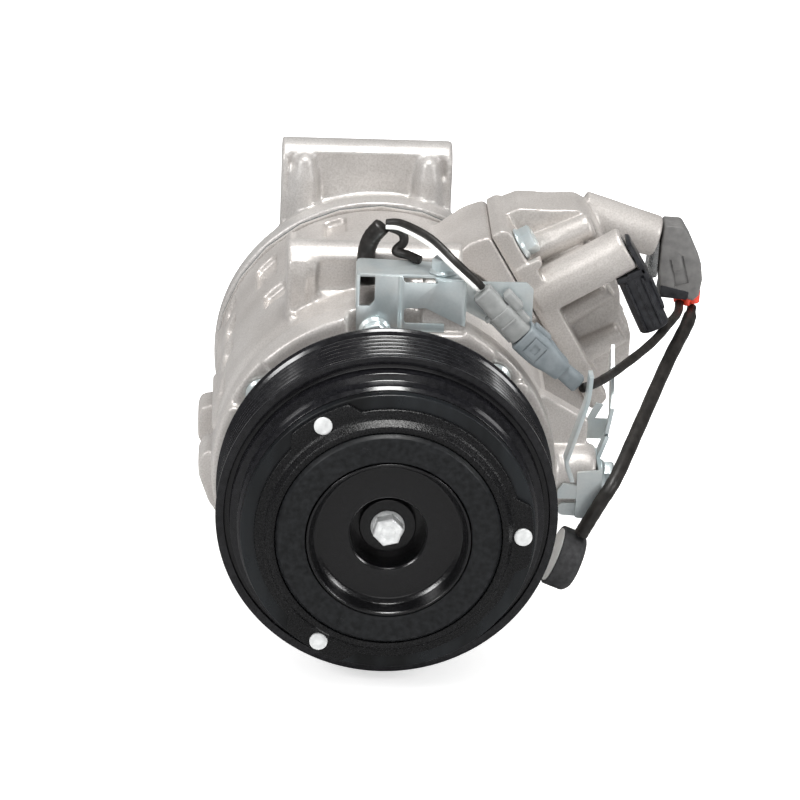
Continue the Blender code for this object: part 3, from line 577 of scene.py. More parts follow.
def hex_bolt(p, d, flange_r, flange_h, hex_r, hex_h, shank_r, shank_l, turn=0.0):
    """A flanged hex bolt: p is the seat, d points out of the head."""
    d = Vector(d).normalized()
    p = Vector(p)
    fl = turned(rounded([(0, 0), (flange_r, 0, 0.25), (flange_r, flange_h * 0.45, 0.3), (hex_r * 0.95, flange_h * 1.2),
                         (0, flange_h * 1.2)], closed=False), p, p + d, 48)
    hx = turned([(0, 0), (hex_r, 0), (hex_r, hex_h - 0.55), (hex_r * 0.87, hex_h), (hex_r * 0.55, hex_h),
                 (hex_r * 0.48, hex_h - 0.35), (0, hex_h - 0.35)], p + d * flange_h * 0.4 * MM, p + d, 6, phase=turn)
    cone = turned([(0, 0), (hex_r * 1.08, 0), (hex_r * 1.08, hex_h - 1.1), (hex_r * 0.86, hex_h + 0.1), (0, hex_h + 0.1)],
                  p + d * flange_h * 0.4 * MM, p + d, 48)
    hx = boolean(hx, cone, "INTERSECT")
    hx = eased(hx, 0.16, 2, 25)
    sh = rod(p - d * shank_l * MM, p + d * 0.2 * MM, shank_r, seg=20)
    return merged(fl, hx, sh)


# --------------------------------------------------------------- constants
PULLEY_R, PULLEY_W, RIB_PITCH, RIB_FIRST, GROOVE_R = 62.5, 29.0, 3.56, 2.04, 59.7
NOSE_R = 17.4
SEAM_1, SEAM_2, HEAD_Y = 112.0, 160.0, 164.1
SHELL_R, BLOCK_R, CAVITY_R = 64.0, 63.8, 57.5
BOLT_AT = [polar(55.0, 44.1 + 360.0 / 7 * i) for i in range(7)]
BOLT_ANG = [44.1 + 360.0 / 7 * i for i in range(7)]
PISTON_AT = [69.8 + 360.0 / 7 * i for i in range(7)]
EAR_X0, EAR_X1 = -38.0, 27.5
RIVET_AT = [polar(48.7, 0.66 + 120 * i) for i in range(3)]

# -------------------------------------------------------------------- clutch
# Pulley: ribbed rim, stepped drum, friction face, bearing sleeve.
prof = [(PULLEY_R, PULLEY_W, 0.3), (50.8, PULLEY_W, 0.3), (50.8, -6.8, 0.3), (32.0, -6.8), (32.0, 21.0),
        (27.7, 21.0), (27.7, -0.3), (25.8, -0.3), (25.8, -10.8, 0.2), (53.6, -10.8, 0.25), (54.6, -9.4, 0.4),
        (54.6, -4.0, 0.5), (57.2, -3.4, 0.35), (57.2, 1.6, 0.5), (59.4, 1.6, 0.3), (59.4, 0.0, 0.3),
        (PULLEY_R, 0.0, 0.45), (PULLEY_R, 1.2, 0.2)]
for i in range(7):
    y = RIB_FIRST + RIB_PITCH * i
    prof += [(61.75, y, 0.28), (GROOVE_R, y + RIB_PITCH * 0.42, 0.22), (GROOVE_R, y + RIB_PITCH * 0.58, 0.22)]
prof += [(61.75, RIB_FIRST + RIB_PITCH * 7, 0.28), (PULLEY_R, PULLEY_W - 1.2, 0.2)]
pulley = lathe(rounded(prof, seg=3), 200)
done(pulley, "v_pulley", "pulley", "gloss", ["pulley"], angle=24)

arm = lathe(rounded([(34.0, -15.2), (53.4, -15.2, 0.5), (53.4, -11.2, 0.3), (34.0, -11.2)], seg=4), 180)
done(arm, "v_armature_plate", "armature", "armature", ["armature_plate"], angle=26)

# Outer plate: a stepped cone round the rubber, with three lugs for the rivets.
ring = lathe(rounded([(41.1, -15.4), (48.5, -15.4, 0.3), (48.3, -16.8, 0.6), (45.8, -17.5, 0.8), (45.0, -18.0, 0.5),
                      (43.4, -20.8, 0.6), (42.6, -21.1, 0.4), (41.1, -20.9, 0.3)], seg=3), 180)
lugs = []
for k in range(3):
    c = 0.66 + 120 * k
    loop = [polar(44.5, c + 19)]
    for j in range(31):
        d = 19 - 38 * j / 30
        e = min(1.0, (19 - abs(d)) / 7.0)
        e = e * e * (3 - 2 * e)
        loop.append(polar(47.6 + 4.9 * e, c + d))
    loop.append(polar(44.5, c - 19))
    lugs.append(xz_prism(loop[::-1], -17.3, -15.4, edge=0.35, seg=3))
plate = merged(ring, *lugs)
done(plate, "v_hub_outer_plate", "armature", "coarse", ["hub_outer_plate"], angle=34)

for i, (x, z) in enumerate(RIVET_AT):
    rv = turned(rounded([(0, 0), (2.0, 0), (2.0, 5.6), (3.3, 5.6, 0.1), (3.3, 6.6, 0.35), (2.5, 6.85, 0.2), (0, 6.85)],
                        closed=False, seg=4), W(x, -11.6, z), W(x, -20, z), 36)
    done(rv, "v_armature_rivet_%d" % (i + 1), "armature", "rivet", ["armature_rivet_%d" % (i + 1)])

damper = lathe(rounded([(30.1, -16.6), (30.1, -22.1, 0.4), (31.4, -22.35, 0.4), (39.4, -22.35, 0.8), (40.8, -20.6, 0.4),
                        (40.8, -16.6)], seg=4), 160)
marks = []
for a, r in ((106.0, 35.6), (243.0, 36.2)):
    x, z = polar(r, a)
    marks.append(turned(rounded([(0.85, -0.3), (1.5, -0.3), (1.5, 0.22, 0.12), (0.95, 0.22, 0.12)], seg=3),
                        W(x, -22.3, z), W(x, -30, z), 28))
damper = merged(damper, *marks)
done(damper, "v_hub_rubber_damper", "shaft", "rubber", ["hub_rubber_damper"])

hub = lathe(rounded([(3.35, -9.0), (10.4, -9.0, 0.5), (10.4, -5.5), (13.8, -5.5), (13.8, -15.4, 0.3), (14.5, -16.1, 0.5),
                     (25.6, -15.8, 1.6), (27.3, -17.2, 1.2), (28.4, -21.9, 0.5), (28.9, -22.5, 0.3), (29.65, -22.4, 0.3),
                     (29.7, -14.2, 0.5), (16.0, -14.2, 0.4), (16.0, -3.5), (10.4, -3.5), (10.4, 13.0), (5.8, 13.0),
                     (5.8, -7.2), (3.35, -7.2)], seg=4), 160)
done(hub, "v_clutch_hub", "shaft", "hub_black", ["clutch_hub"])
bolt = hex_bolt(W(0, -9.05, 0), (0, -1, 0), 6.2, 1.2, 5.6, 5.9, 3.0, 17.5, turn=radians(14))
done(bolt, "v_hub_bolt", "shaft", "rivet", ["hub_bolt"], angle=24)


# ------------------------------------------------------------------ castings
def ear(y, rear):
    """Mounting ear: a round-topped bar along X, recessed at the front."""
    lo, hi, zt, r = (-39.3, 28.8, 71.4, 9.8) if rear else (EAR_X0, EAR_X1, 69.8, 9.4)
    arc = [(y + r * cos(t), zt + r * sin(t)) for t in [pi * k / 20 for k in range(21)]]
    e = yz_prism([(y + r, 36), *arc, (y - r, 36)], lo, hi)
    if rear:
        win = rounded([(lo + 2.4, 40), (hi - 2.4, 40), (hi - 2.4, 77.6, 3), (lo + 2.4, 77.6, 3)], seg=5)
        e = cut(e, xz_prism(win, y - r - 4, y - 7.0), xz_prism(win, y + 7.0, y + r + 4))
        for x in (-30.2, 19.2):
            e = join(e, turned(rounded([(0, 0), (6.6, 0), (6.2, 14), (5.8, 28), (4.0, 36, 2), (0, 38.0)], closed=False, seg=5),
                               W(x, y - 9.4, 40), W(x, y - 7.4, 90), 40))
    else:
        win = rounded([(lo + 11.0, 40), (hi - 8.6, 40), (hi - 8.6, 74.6, 3), (lo + 11.0, 74.6, 3)], seg=5)
        e = cut(e, xz_prism(win, y - r - 4, y - 7.0), xz_prism(win, y + 7.0, y + r + 4))
        end = [(y - r - 0.7, 45), (y - r - 0.7, 69.0), (y - r + 0.4, 74.5), (y - r + 4, 74), (y, 60), (y, 45)]
        e = join(e, yz_prism(end, lo + 1.2, lo + 7.6))
        for x in (lo + 1.6, lo + 7.2):
            e = join(e, yz_prism([(a - 0.45, b) for a, b in end], x - 0.45, x + 0.45))
    return e


def sector(a0, a1, r0, r1, y0, y1, edge=0.0):
    n = max(3, int(abs(a1 - a0) / 3))
    outer = [polar(r1, a0 + (a1 - a0) * k / n) for k in range(n + 1)]
    inner = [polar(r0, a1 - (a1 - a0) * k / n) for k in range(n + 1)]
    return xz_prism(outer + inner, y0, y1, edge=edge)


NB = 120
fh = lathe(rounded([
    (13.2, -3), (NOSE_R, -3, 0.5), (NOSE_R, 20.3), (20.7, 20.3), (20.7, 27.2), (42, 27.2, 2), (47, 31, 2), (57, 36, 2),
    (58, 41), (64.4, 41, 0.9), (64.5, 50.5, 2.0), (62.6, 54.5, 3.5), (62.8, 58, 3), (SHELL_R, 63, 3), (SHELL_R, SEAM_1, 0.4),
    (CAVITY_R, SEAM_1), (CAVITY_R, 54, 3), (54, 49.1), (12.4, 49.1), (12.4, 34), (9.6, 34), (9.6, 28), (13.2, 28)]), NB)
adds = [sector(a0, a1, 57.2, 64.4, 37.9, 42.5) for a0, a1 in ((54, 86), (105, 137), (-86, -20), (160, 186))]
adds += [cyl_y(*polar(61.2, a), 2.8, 37.4, 43) for a in (157.5, 53.0, 36.0)]
adds += [ear(75.0, False), box(12, 26.5, 41.8, 55, 52, 76.0),
         xz_prism(rounded([(-50, -4.8), (-67, -4.8, 2.5), (-69.6, -9.0, 2.5), (-69.2, -15, 4), (-65.4, -25.4, 5), (-62.2, -30, 1), (-50, -30)], seg=4), 70, 88),
         rod(W(52, 57, -5.5), W(80.3, 57, -5.5), 12.0, seg=64, edge=1.6),
         xz_prism(rounded([(50, -8), (76, -8), (76.4, 4), (77.4, 16, 3), (60, 26, 4), (50, 26)], seg=4), 58, 66)]
# fillet webs: ear to shell, and the saddle under the wiring bracket's boss
adds += [box(-36, 25.5, 66, 84, 48, 61.5), cyl_x(84, 60.8, 3.4, -37, 26.5), box(8, 27.2, 54, 68, 50, 66.5)]
# long ribs on the shell between the bolt columns
adds += [xz_prism([polar(60, a - 1.8), polar(65.3, a - 1.1), polar(65.3, a + 1.1), polar(60, a + 1.8)], 60, SEAM_1 - 0.1)
         for a in (124.2, 171.5, 222.0, 273.0, 322.0, 19.0)]
for x, z in BOLT_AT:
    adds.append(cyl_y(x, z, 5.2, 41.7, SEAM_1 - 0.05))
fh = join(fh, *adds)
cuts = [box(-15, 11.7, 28, 45.8, 47.6, 72), box(11, 28, 30, 41.8, 56.5, 72), cyl_y(0, 0, CAVITY_R + 0.1, 54.6, SEAM_1 + 2, NB)]
for k, (x, z) in enumerate(BOLT_AT):
    cuts += [cyl_y(x, z, 3.5, 30, SEAM_1 + 3, 16), cyl_y(x, z, 7.0, 30, 45.8 if k == 1 else 42.3, 32)]
cuts += [cyl_x(75, 63, 5.2, EAR_X0 - 2, EAR_X1 + 2, 32), rod(W(19.3, 47.5, 62), W(19.3, 47.5, 78), 3.0, seg=20),
         rod(W(72.4, 57, -5.5), W(82, 57, -5.5), 3.0, seg=20)]


def pocket(a0, a1, y0, y1, depth, r=64.6, slope=0.0):
    """A shallow recess in the shell between two angles and two stations."""
    am, w = (a0 + a1) / 2, radians((a1 - a0) / 2)
    cx, cz = cos(radians(am)), sin(radians(am))
    hw = r * sin(w)
    ex = Vector((-cz, 0, cx))
    outline = rounded([(-hw + slope, y0, 1.6), (hw, y0, 1.6), (hw, y1, 1.6), (-hw, y1, 1.6)], seg=3)
    return prism(outline, Vector((cx * (r - depth + 12) * MM, -PAD * MM, cz * (r - depth + 12) * MM)), ex, (0, 1, 0), 24.0)


cuts += [pocket(126.5, 136.0, 93.5, 108.5, 4.0), pocket(160.0, 168.5, 66.0, 84.0, 3.2), pocket(154.5, 163.0, 92.0, 108.0, 3.6),
         pocket(207.0, 217.0, 70.0, 104.0, 3.2), pocket(258.0, 268.0, 70.0, 104.0, 3.2), pocket(280.0, 292.0, 70.0, 104.0, 3.2),
         pocket(330.0, 341.0, 72.0, 104.0, 3.2)]
fh = cut(fh, *cuts)
done(cast(fh), "v_front_housing", "housing", "cast", ["front_housing"], angle=0)

cb = xz_prism(circle(BLOCK_R - 0.9, n=NB), SEAM_1 + 0.3, SEAM_2)
adds = [ns_prism(rounded([(40, -42), (71, -42, 1.5), (71, 41, 2), (62, 42.5, 4), (40, 40)]), 112.6, 151),
        ns_prism(rounded([(66.6, 2), (71, 2), (71, 41, 2), (62, 42.5, 3), (53, 40), (60, 28)]), 106, 113.5),
        xz_prism(rounded([(-50, -14.3), (-63.4, -14.3, 1), (-69.2, -15.6, 2.5), (-70.3, -19.2, 2), (-70.1, -28.6, 3), (-67.2, -33.7, 2), (-50, -34)], seg=4), 142, 158)]
adds += [xz_prism([polar(58, a - 1.8), polar(64.2, a - 1.1), polar(64.2, a + 1.1), polar(58, a + 1.8)], SEAM_1 + 1, SEAM_2 - 0.4)
         for a in (124.2, 171.5, 222.0, 273.0, 322.0)]
cb = join(cb, *adds)
cuts = [cyl_y(0, 0, CAVITY_R - 0.5, SEAM_1 - 2, 116, NB)]
for a in PISTON_AT:
    x, z = polar(41.0, a)
    cuts.append(cyl_y(x, z, 16.2, 110, SEAM_2 + 2, 48))
cuts += [cyl_y(0, 0, 9.4, 110, 131), cyl_y(0, 0, 12.8, 129.8, 145), cyl_y(0, 0, 8.6, 140, SEAM_2 + 2)]
for x, z in BOLT_AT:
    cuts.append(cyl_y(x, z, 3.5, 105, SEAM_2 + 3, 16))
for s, y in ((30, 113.5), (-33, 146)):
    cuts.append(rod(ns(60.5, s, y), ns(73, s, y), 3.0, seg=20))
cuts += [pocket(131.0, 140.5, 126.0, 149.0, 3.6, 63.6), pocket(154.5, 163.5, 119.0, 137.0, 3.4, 63.2),
         pocket(155.0, 163.5, 144.5, 155.0, 3.2, 63.2), pocket(103.0, 111.0, 138.0, 155.0, 3.2, 63.2),
         pocket(207.0, 217.0, 119.0, 154.0, 3.0, 63.2), pocket(258.0, 268.0, 119.0, 154.0, 3.0, 63.2),
         pocket(280.0, 292.0, 119.0, 154.0, 3.0, 63.2)]
cb = cut(cb, *cuts)
done(cast(cb, 0.85), "v_cylinder_block", "housing", "cast_block", ["cylinder_block"], angle=0)

rh = lathe(rounded([(0, HEAD_Y), (64.5, HEAD_Y, 0.5), (64.5, 172, 5), (61.6, 182, 6), (59.2, 192, 9), (52, 203, 9), (40, 208.5, 9),
                      (19.5, 209.6, 1.2), (18, 212, 0.8), (0, 212)], closed=False, seg=6), NB)
rh = join(rh, ear(192.0, True), box(-37, 26.5, 184, 200, 40, 58))
rh = cut(rh, cyl_y(0, 0, 27, HEAD_Y - 2, 200), lathe([(32, HEAD_Y - 2), (49.4, HEAD_Y - 2), (49.4, 182), (46, 192), (32, 192)], NB),
         *[cyl_y(x, z, 3.5, HEAD_Y - 2, 180.4, 16) for x, z in BOLT_AT],
         cyl_x(192, 63, 5.2, -42, 32, 32),
         *[lathe([(r, 208.2), (r + 1.4, 208.2), (r + 1.4, 214), (r, 214)], NB) for r in (30.0,)])
done(cast(rh), "v_rear_housing", "housing", "cast_rear", ["rear_housing"], angle=0)

# Port block: flange, sculpted body, valve boss, tube stub.
pb = ns_prism(rounded([(71.3, -41, 1), (78.4, -41, 2), (78.4, 38.6, 1.5), (76, 40.8, 2), (71.3, 41, 1)]), 106, 150)
body = ns_prism(rounded([(75, 39.5), (83.7, 38.5, 5), (94.2, 31.8, 4), (103.3, 26.7, 5), (106.3, 21.6, 5), (106.3, 15, 5), (101.7, -11.3, 6),
                         (97.3, -19.8, 5), (97.6, -28.2, 6), (91.8, -37.7, 6), (82.4, -40.5, 2), (75, -40.5)], seg=6), 127, 150)
boss = turned(rounded([(0, 0), (8.7, 0), (8.7, 40.2, 0.9), (0, 40.2)], closed=False), ns(74, 9.1, 112), ns(114.2, 9.1, 112), 64)
stub = turned(rounded([(0, 0), (9.6, 0), (9.2, 10), (8.6, 20, 2), (8.2, 31.6, 1.0), (0, 31.6)], closed=False), W(78, 150, 66.5), W(108.8, 150, 58.2), 48)
adds = [body, boss, stub,
        # round rib above the valve boss, that ends behind the bolt
        rod(ns(75, 23.2, 122.5), ns(105.6, 20.4, 122.5), 5.5, 5.2, edge=1.4),
        # ribs below it
        rod(ns(76, -9.0, 126.0), ns(99, -7.4, 126.0), 4.6, 3.8, edge=1), rod(ns(76, -25.0, 125.5), ns(94.5, -25.5, 126.0), 5.2, 4.4, edge=1),
        # skirt that ties the boss to the body
        ns_prism(rounded([(75, 2, 2), (101, 2, 4), (101, 16.5, 4), (75, 16.5, 2)]), 112, 128),
        # raised front edge of the flange
        ns_prism(rounded([(72.5, -40.5, 1), (79.4, -40, 1.5), (80.2, 20, 1.5), (83.4, 21, 1.5), (83.4, 24, 1), (73, 24, 1)]), 105.2, 113)]
pb = join(pb, *adds)
cuts = [rod(ns(90, 9.1, 112), ns(118, 9.1, 112), 5.3), rod(W(95, 150, 61.9), W(112, 150, 57.3), 4.0),
        rod(ns(70, -10, 140), ns(90, -10, 140), 7)]
for s, y in ((30, 113.5), (-33, 146)):
    cuts += [rod(ns(70, s, y), ns(80, s, y), 3.3, seg=20), rod(ns(78.5, s, y), ns(112, s, y), 7.3, seg=32)]
pb = cut(pb, *cuts)
done(cast(pb, 0.55, 9), "v_port_block", "housing", "cast_port", ["port_block"], angle=0)

# ------------------------------------------------------------------- bolts
for i, (x, z) in enumerate(BOLT_AT):
    d = 1.9 if i == 1 else 0.0
    b = hex_bolt(W(x, 42.1 + d, z), (0, -1, 0), 6.3, 1.3, 5.4, 4.3, 2.9, 137.5 - d, turn=0.3 + i)
    done(b, "v_through_bolt_%d" % (i + 1), "housing", "zinc", ["through_bolt_%d" % (i + 1)], angle=24)
for i, (s, y) in enumerate(((30, 113.5), (-33, 146))):
    b = hex_bolt(ns(78.8, s, y), (CA, 0, SA), 6.4, 1.6, 5.6, 5.4, 2.5, 16.8, turn=0.25)
    done(b, "v_port_block_bolt_%d" % (i + 1), "housing", "zinc", ["port_block_bolt_%d" % (i + 1)], angle=24)
b = hex_bolt(W(19.3, 47.5, 77.9), (0, 0, 1), 5.2, 1.2, 4.6, 5.2, 2.5, 13.9, turn=0.2)
done(b, "v_wire_bracket_bolt", "housing", "zinc", ["wire_bracket_bolt"], angle=24)
b = hex_bolt(W(82.3, 57, -5.5), (1, 0, 0), 6.2, 1.3, 5.6, 4.6, 2.5, 9.4, turn=0.5)
done(b, "v_side_bracket_bolt", "housing", "zinc", ["side_bracket_bolt"], angle=24)

# ---------------------------------------------------------------- brackets
T = 1.2
plan = xy_prism(rounded([(-12.6, 44.3), (3.4, 44.3, 1), (3.4, 40.2, 2), (27.9, 40.2, 2), (27.9, 49.1, 1), (53.2, 49.1), (53.2, 50.3),
                 (26.7, 50.3, 2), (26.7, 41.4, 1), (4.6, 41.4, 1), (4.6, 45.5, 2), (-12.6, 45.5)]), 50, 78.2)
view = xz_prism(rounded([(-12.4, 58.2, 0.6), (-12.0, 49.0, 1), (1.6, 49.0, 1), (3.0, 56.9), (20.0, 56.9, 0.4), (20.0, 60.0, 0.4), (5.0, 60.0, 1.2), (5.0, 65.9, 1),
                         (13.0, 66.2, 1), (28.2, 58.8), (28.2, 62.2), (41.6, 55.2, 1), (45.0, 54.2, 1), (53.0, 53.6, 1.5),
                         (53.0, 71.3, 1.2), (50.5, 73.8, 1.8), (28.2, 73.6), (27.0, 77.0), (17.0, 77.0), (17.0, 75.8, 0.4),
                         (5.0, 75.8, 0.4), (4.2, 77.0), (-5.8, 77.0), (-5.8, 67.0, 1.6), (-7.6, 65.0, 1.2), (-12.4, 65.0, 0.8)]), 38, 52)
wb = boolean(plan, view, "INTERSECT")
top = xy_prism(rounded([(-12.2, 44.5, 1), (16.2, 44.5, 0.5), (16.2, 40.5, 0.5), (27.3, 40.5, 1.2), (27.3, 53.2, 2), (16.2, 53.2, 1),
                        (16.2, 59.2, 1.5), (-12.2, 61.6, 2)]), 76.4, 76.4 + T)
wb = join(wb, top, yz_prism(rounded([(44.5, 62), (60, 66, 1.5), (60, 76.9), (44.5, 76.9)]), -12.6, -11.4))
wb = cut(wb, rod(W(19.3, 47.5, 74), W(19.3, 47.5, 80), 3.2), cyl_y(*BOLT_AT[1], 3.5, 40, 50))
done(eased(wb, 0.22, 2, 40), "v_wire_bracket", "housing", "zinc", ["wire_bracket"])

# ---------------------------------------------------------------- coil lead
sl = spline([(-8.6, 61.2, 67.4), (-8.7, 63.8, 72), (-8.7, 66.4, 78), (-7.0, 66.2, 84), (-3.4, 65.2, 89.0)], 12)
radii = [3.35 + 0.04 * sin(1.7 * k) + 0.03 * sin(4.3 * k + 1) for k in range(len(sl))]
done(tube(sl, 2.7, 24, radii), "v_coil_lead_sleeve", "housing", "sheath", ["coil_lead_sleeve"], angle=0)
done(tube(spline([(-1.6, 64.6, 90.6), (4, 62, 91.4), (14.2, 51, 89.8), (23.5, 41, 84.1), (30.6, 41.0, 77.4), (33.4, 43.0, 74.2)], 14), 1.4),
     "v_coil_wire_black", "housing", "sheath", ["coil_wire_black"], angle=0)
done(tube(spline([(-1.8, 62.6, 89.6), (4, 60.2, 89.6), (13.5, 49.3, 87.9), (22.3, 39.6, 82.6), (29.3, 39.7, 76.2), (32.0, 42.8, 73.0)], 14), 0.8),
     "v_coil_wire_white", "housing", "white", ["coil_wire_white"], angle=0)
done(tube(spline([(-1.0, 66.8, 88.4), (4.0, 66.4, 86.4), (5.0, 65.4, 83.0), (2.2, 63.6, 79.9), (6.5, 61.0, 79.4), (10.5, 56.5, 79.2)], 12), 1.75),
     "v_ground_wire", "housing", "sheath", ["ground_wire"], angle=0)

# ------------------------------------------------------- clutch connector
YC = 43.4
A, B, C, D = W(32.5, YC, 73.0), W(48.7, YC, 55.9), W(65.3, YC, 41.5), W(71.2, YC, 36.4)


def local(p, q):
    """Frame along p to q: u along, v across in the XZ plane, w to the front."""
    u = (q - p).normalized()
    w = Vector((0, -1, 0))
    v = w.cross(u).normalized()
    return u, v, w


def lbox(p, fr, u0, u1, v0, v1, w0, w1, edge=0.0):
    u, v, w = fr
    bm = bmesh.new()
    bmesh.ops.create_cube(bm, size=1.0)
    for q in bm.verts:
        a = ((u0 + u1) / 2 + q.co.x * (u1 - u0)) * MM
        b = ((v0 + v1) / 2 + q.co.y * (v1 - v0)) * MM
        c = ((w0 + w1) / 2 + q.co.z * (w1 - w0)) * MM
        q.co = p + u * a + v * b + w * c
    o = from_bm(bm, "lbox")
    return eased(o, edge, 3, 30) if edge else o


def loft(p, fr, sections, seg=28, power=3.2):
    """Rounded-box sections (u, v half-width, w half-height, v offset) joined."""
    u, v, w = fr
    bm = bmesh.new()
    rings = []
    for s in sections:
        pos, hv, hw, off = s
        ring = []
        for k in range(seg):
            t = 2 * pi * k / seg
            cc, ss = cos(t), sin(t)
            e = 2.0 / power
            a = abs(cc) ** e * (1 if cc >= 0 else -1) * hv
            b = abs(ss) ** e * (1 if ss >= 0 else -1) * hw
            ring.append(bm.verts.new(p + u * pos * MM + v * (a + off) * MM + w * b * MM))
        rings.append(ring)
    for a, b in zip(rings, rings[1:]):
        for k in range(seg):
            m = (k + 1) % seg
            bm.faces.new((a[k], a[m], b[m], b[k]))
    bm.faces.new(rings[0][::-1])
    bm.faces.new(rings[-1])
    return from_bm(bm, "loft")


fr = local(A, B)
L = (B - A).length / MM
plug = merged(
    loft(A, fr, [(1.2, 3.4, 3.3, 0), (1.7, 4.05, 3.7, 0), (11.2, 4.15, 3.8, 0), (11.5, 4.6, 4.2, 0), (L - 0.5, 4.7, 4.3, 0), (L - 0.2, 4.6, 4.2, 0)], 36, 3.6),
    lbox(A, fr, 8.5, 21.5, 4.4, 6.6, -1.9, 1.9, 0.4), lbox(A, fr, 7.4, 15.5, 4.9, 8.4, -2.6, 2.6, 0.9),
    lbox(A, fr, 11.0, 23.0, -5.4, -4.2, -1.6, 1.6, 0.3), lbox(A, fr, 10.4, 11.6, -6.3, -4.0, -2.4, 2.4, 0.3),
    lbox(A, fr, 16.0, 16.7, -3.4, 3.4, 3.9, 4.6, 0.15))
done(plug, "v_clutch_connector_plug", "housing", "light_grey", ["clutch_connector_plug"])

fr = local(B, C)
L2 = (C - B).length / MM
sock = loft(B, fr, [(0.3, 5.3, 4.7, 0), (0.8, 5.75, 5.0, 0), (8.0, 5.9, 5.0, 0), (11.5, 5.7, 4.9, 0), (16.0, 4.6, 4.6, 0), (L2 - 1.6, 4.1, 4.4, 0), (L2 - 1.0, 3.8, 4.1, 0)], 40, 4.2)
sock = cut(sock, lbox(B, fr, 3.4, 4.0, -4.0, 4.0, 4.6, 6.5), lbox(B, fr, 9.6, 10.2, -4.0, 4.0, 4.6, 6.5),
           lbox(B, fr, 3.4, 10.2, -4.0, -3.4, 4.6, 6.5), lbox(B, fr, 3.4, 10.2, 3.4, 4.0, 4.6, 6.5), lbox(B, fr, 5.4, 8.2, -1.6, 1.6, 4.55, 6.5))
fr2 = local(C, D)
L3 = (D - C).length / MM
sock = merged(eased(sock, 0.12, 2, 40), loft(C, fr2, [(-2.5, 3.3, 3.1, 0), (L3 - 0.9, 3.5, 3.3, 0), (L3 - 0.4, 3.2, 3.0, 0)], 28, 3.2),
              lbox(B, fr, 1.5, 9.0, 5.6, 7.0, -2.0, 2.0, 0.3))
done(sock, "v_clutch_connector_socket", "housing", "blue_grey", ["clutch_connector_socket"])

# ------------------------------------------------------ valve and connector
cv = turned(rounded([(2.7, 3), (2.7, 23.2), (4.8, 23.2, 0.4), (4.8, 0), (0, 0), (0, 3)][::1], closed=True, seg=3), ns(91, 9.1, 112), ns(120, 9.1, 112), 40)
done(cv, "v_control_valve_body", "housing", "steel", ["control_valve_body"])
plate = ns_prism(rounded([(114.8, -4.5, 0.5), (116.6, -4.5, 0.5), (116.6, 11.6, 0.7), (114.8, 12.6, 0.5)]), 105.8, 118.4, edge=0.3)
u = (ns(109.2, -24.2, 112) - ns(111.2, -3.2, 112)).normalized()
w = Vector((0, -1, 0))
v = w.cross(u).normalized()
p = ns(110.6, -0.4, 112)
can = loft(p, (u, v, w), [(0, 5.6, 5.4, 0), (0.5, 6.0, 5.8, 0), (15.5, 6.05, 5.8, 0), (23.6, 6.0, 5.8, 0.1), (24.1, 5.6, 5.4, 0.1)], 44, 2.4)
ribs = [lbox(p, (u, v, w), 2.0, 22.5, o - 0.35, o + 0.35, 5.0, 6.2, 0.15) for o in (-3.2, 0.6, 3.4)]
ribs += [lbox(p, (u, v, w), 5.0, 18.0, 5.6, 6.8, -3.0, 3.0, 0.4), lbox(p, (u, v, w), -1.0, 1.2, -6.0, 5.0, -5.6, 5.6, 0.4)]
tab = lbox(p, (u, v, w), -1.6, 0.4, -1.2, 5.6, 3.5, 6.2, 0.2)
done(merged(plate, can, tab, *ribs), "v_valve_connector", "housing", "black_plastic", ["valve_connector"])

# ------------------------------------------------------------- sensor plug
body = xz_prism(rounded([(110.6, 38.2, 0.6), (123.6, 33.6, 0.6), (126.0, 36.0, 1.2), (126.9, 42.6, 1.5), (126.0, 49.4, 1.5), (121.6, 58.7, 1.8),
                         (118.2, 64.4, 2.4), (110.9, 64.7, 1.0), (109.9, 57, 1.0), (109.6, 45, 1.0)]), 144.2, 156.8, edge=0.7, seg=3)
gro = [lbox(W(116.3, 144.2, 50.2), ((0.27 * 0 + 0.0, 0, -1.0) and (Vector((0.25, 0, -0.97)).normalized(), Vector((0.97, 0, 0.25)).normalized(), Vector((0, -1, 0)))),
            u0, u1, v0, v1, w0, 1.0) for u0, u1, v0, v1, w0 in ((-1.0, 10.5, -2.9, -2.0, -0.9), (-1.6, 10.0, 2.0, 2.9, -0.9), (3.9, 10.2, -2.2, 2.2, -0.6))]
body = cut(body, *gro)
done(eased(body, 0.12, 2, 45), "v_sensor_plug", "housing", "dark_grey", ["sensor_plug"])
base = xz_prism(rounded([(110.0, 35.2, 0.8), (121.4, 34.2, 0.8), (121.8, 37.4, 0.5), (110.6, 40.0, 0.5)]), 143.4, 156.2, edge=0.4)
done(base, "v_sensor_base", "housing", "black_plastic", ())
red = merged(rod(W(119.0, 150.5, 34.6), W(119.0, 150.6, 31.0), 2.5, 2.3, 28, 0.4), rod(W(124.3, 150.5, 36.0), W(124.4, 150.5, 31.0), 2.9, 2.6, 28, 0.4),
             rod(W(121.8, 149.0, 33.6), W(121.9, 149.0, 30.2), 1.6, 1.4, 20, 0.3))
done(red, "v_sensor_seals", "housing", "red", ())
clip = xz_prism(rounded([(106.0, 57.0, 0.6), (109.4, 57.6, 0.6), (109.3, 49.5, 0.8), (109.0, 42.6, 0.8), (104.4, 41.4, 1), (105.2, 49.5, 1)]), 146, 154, edge=0.25)
done(clip, "v_sensor_clip", "housing", "steel", ())

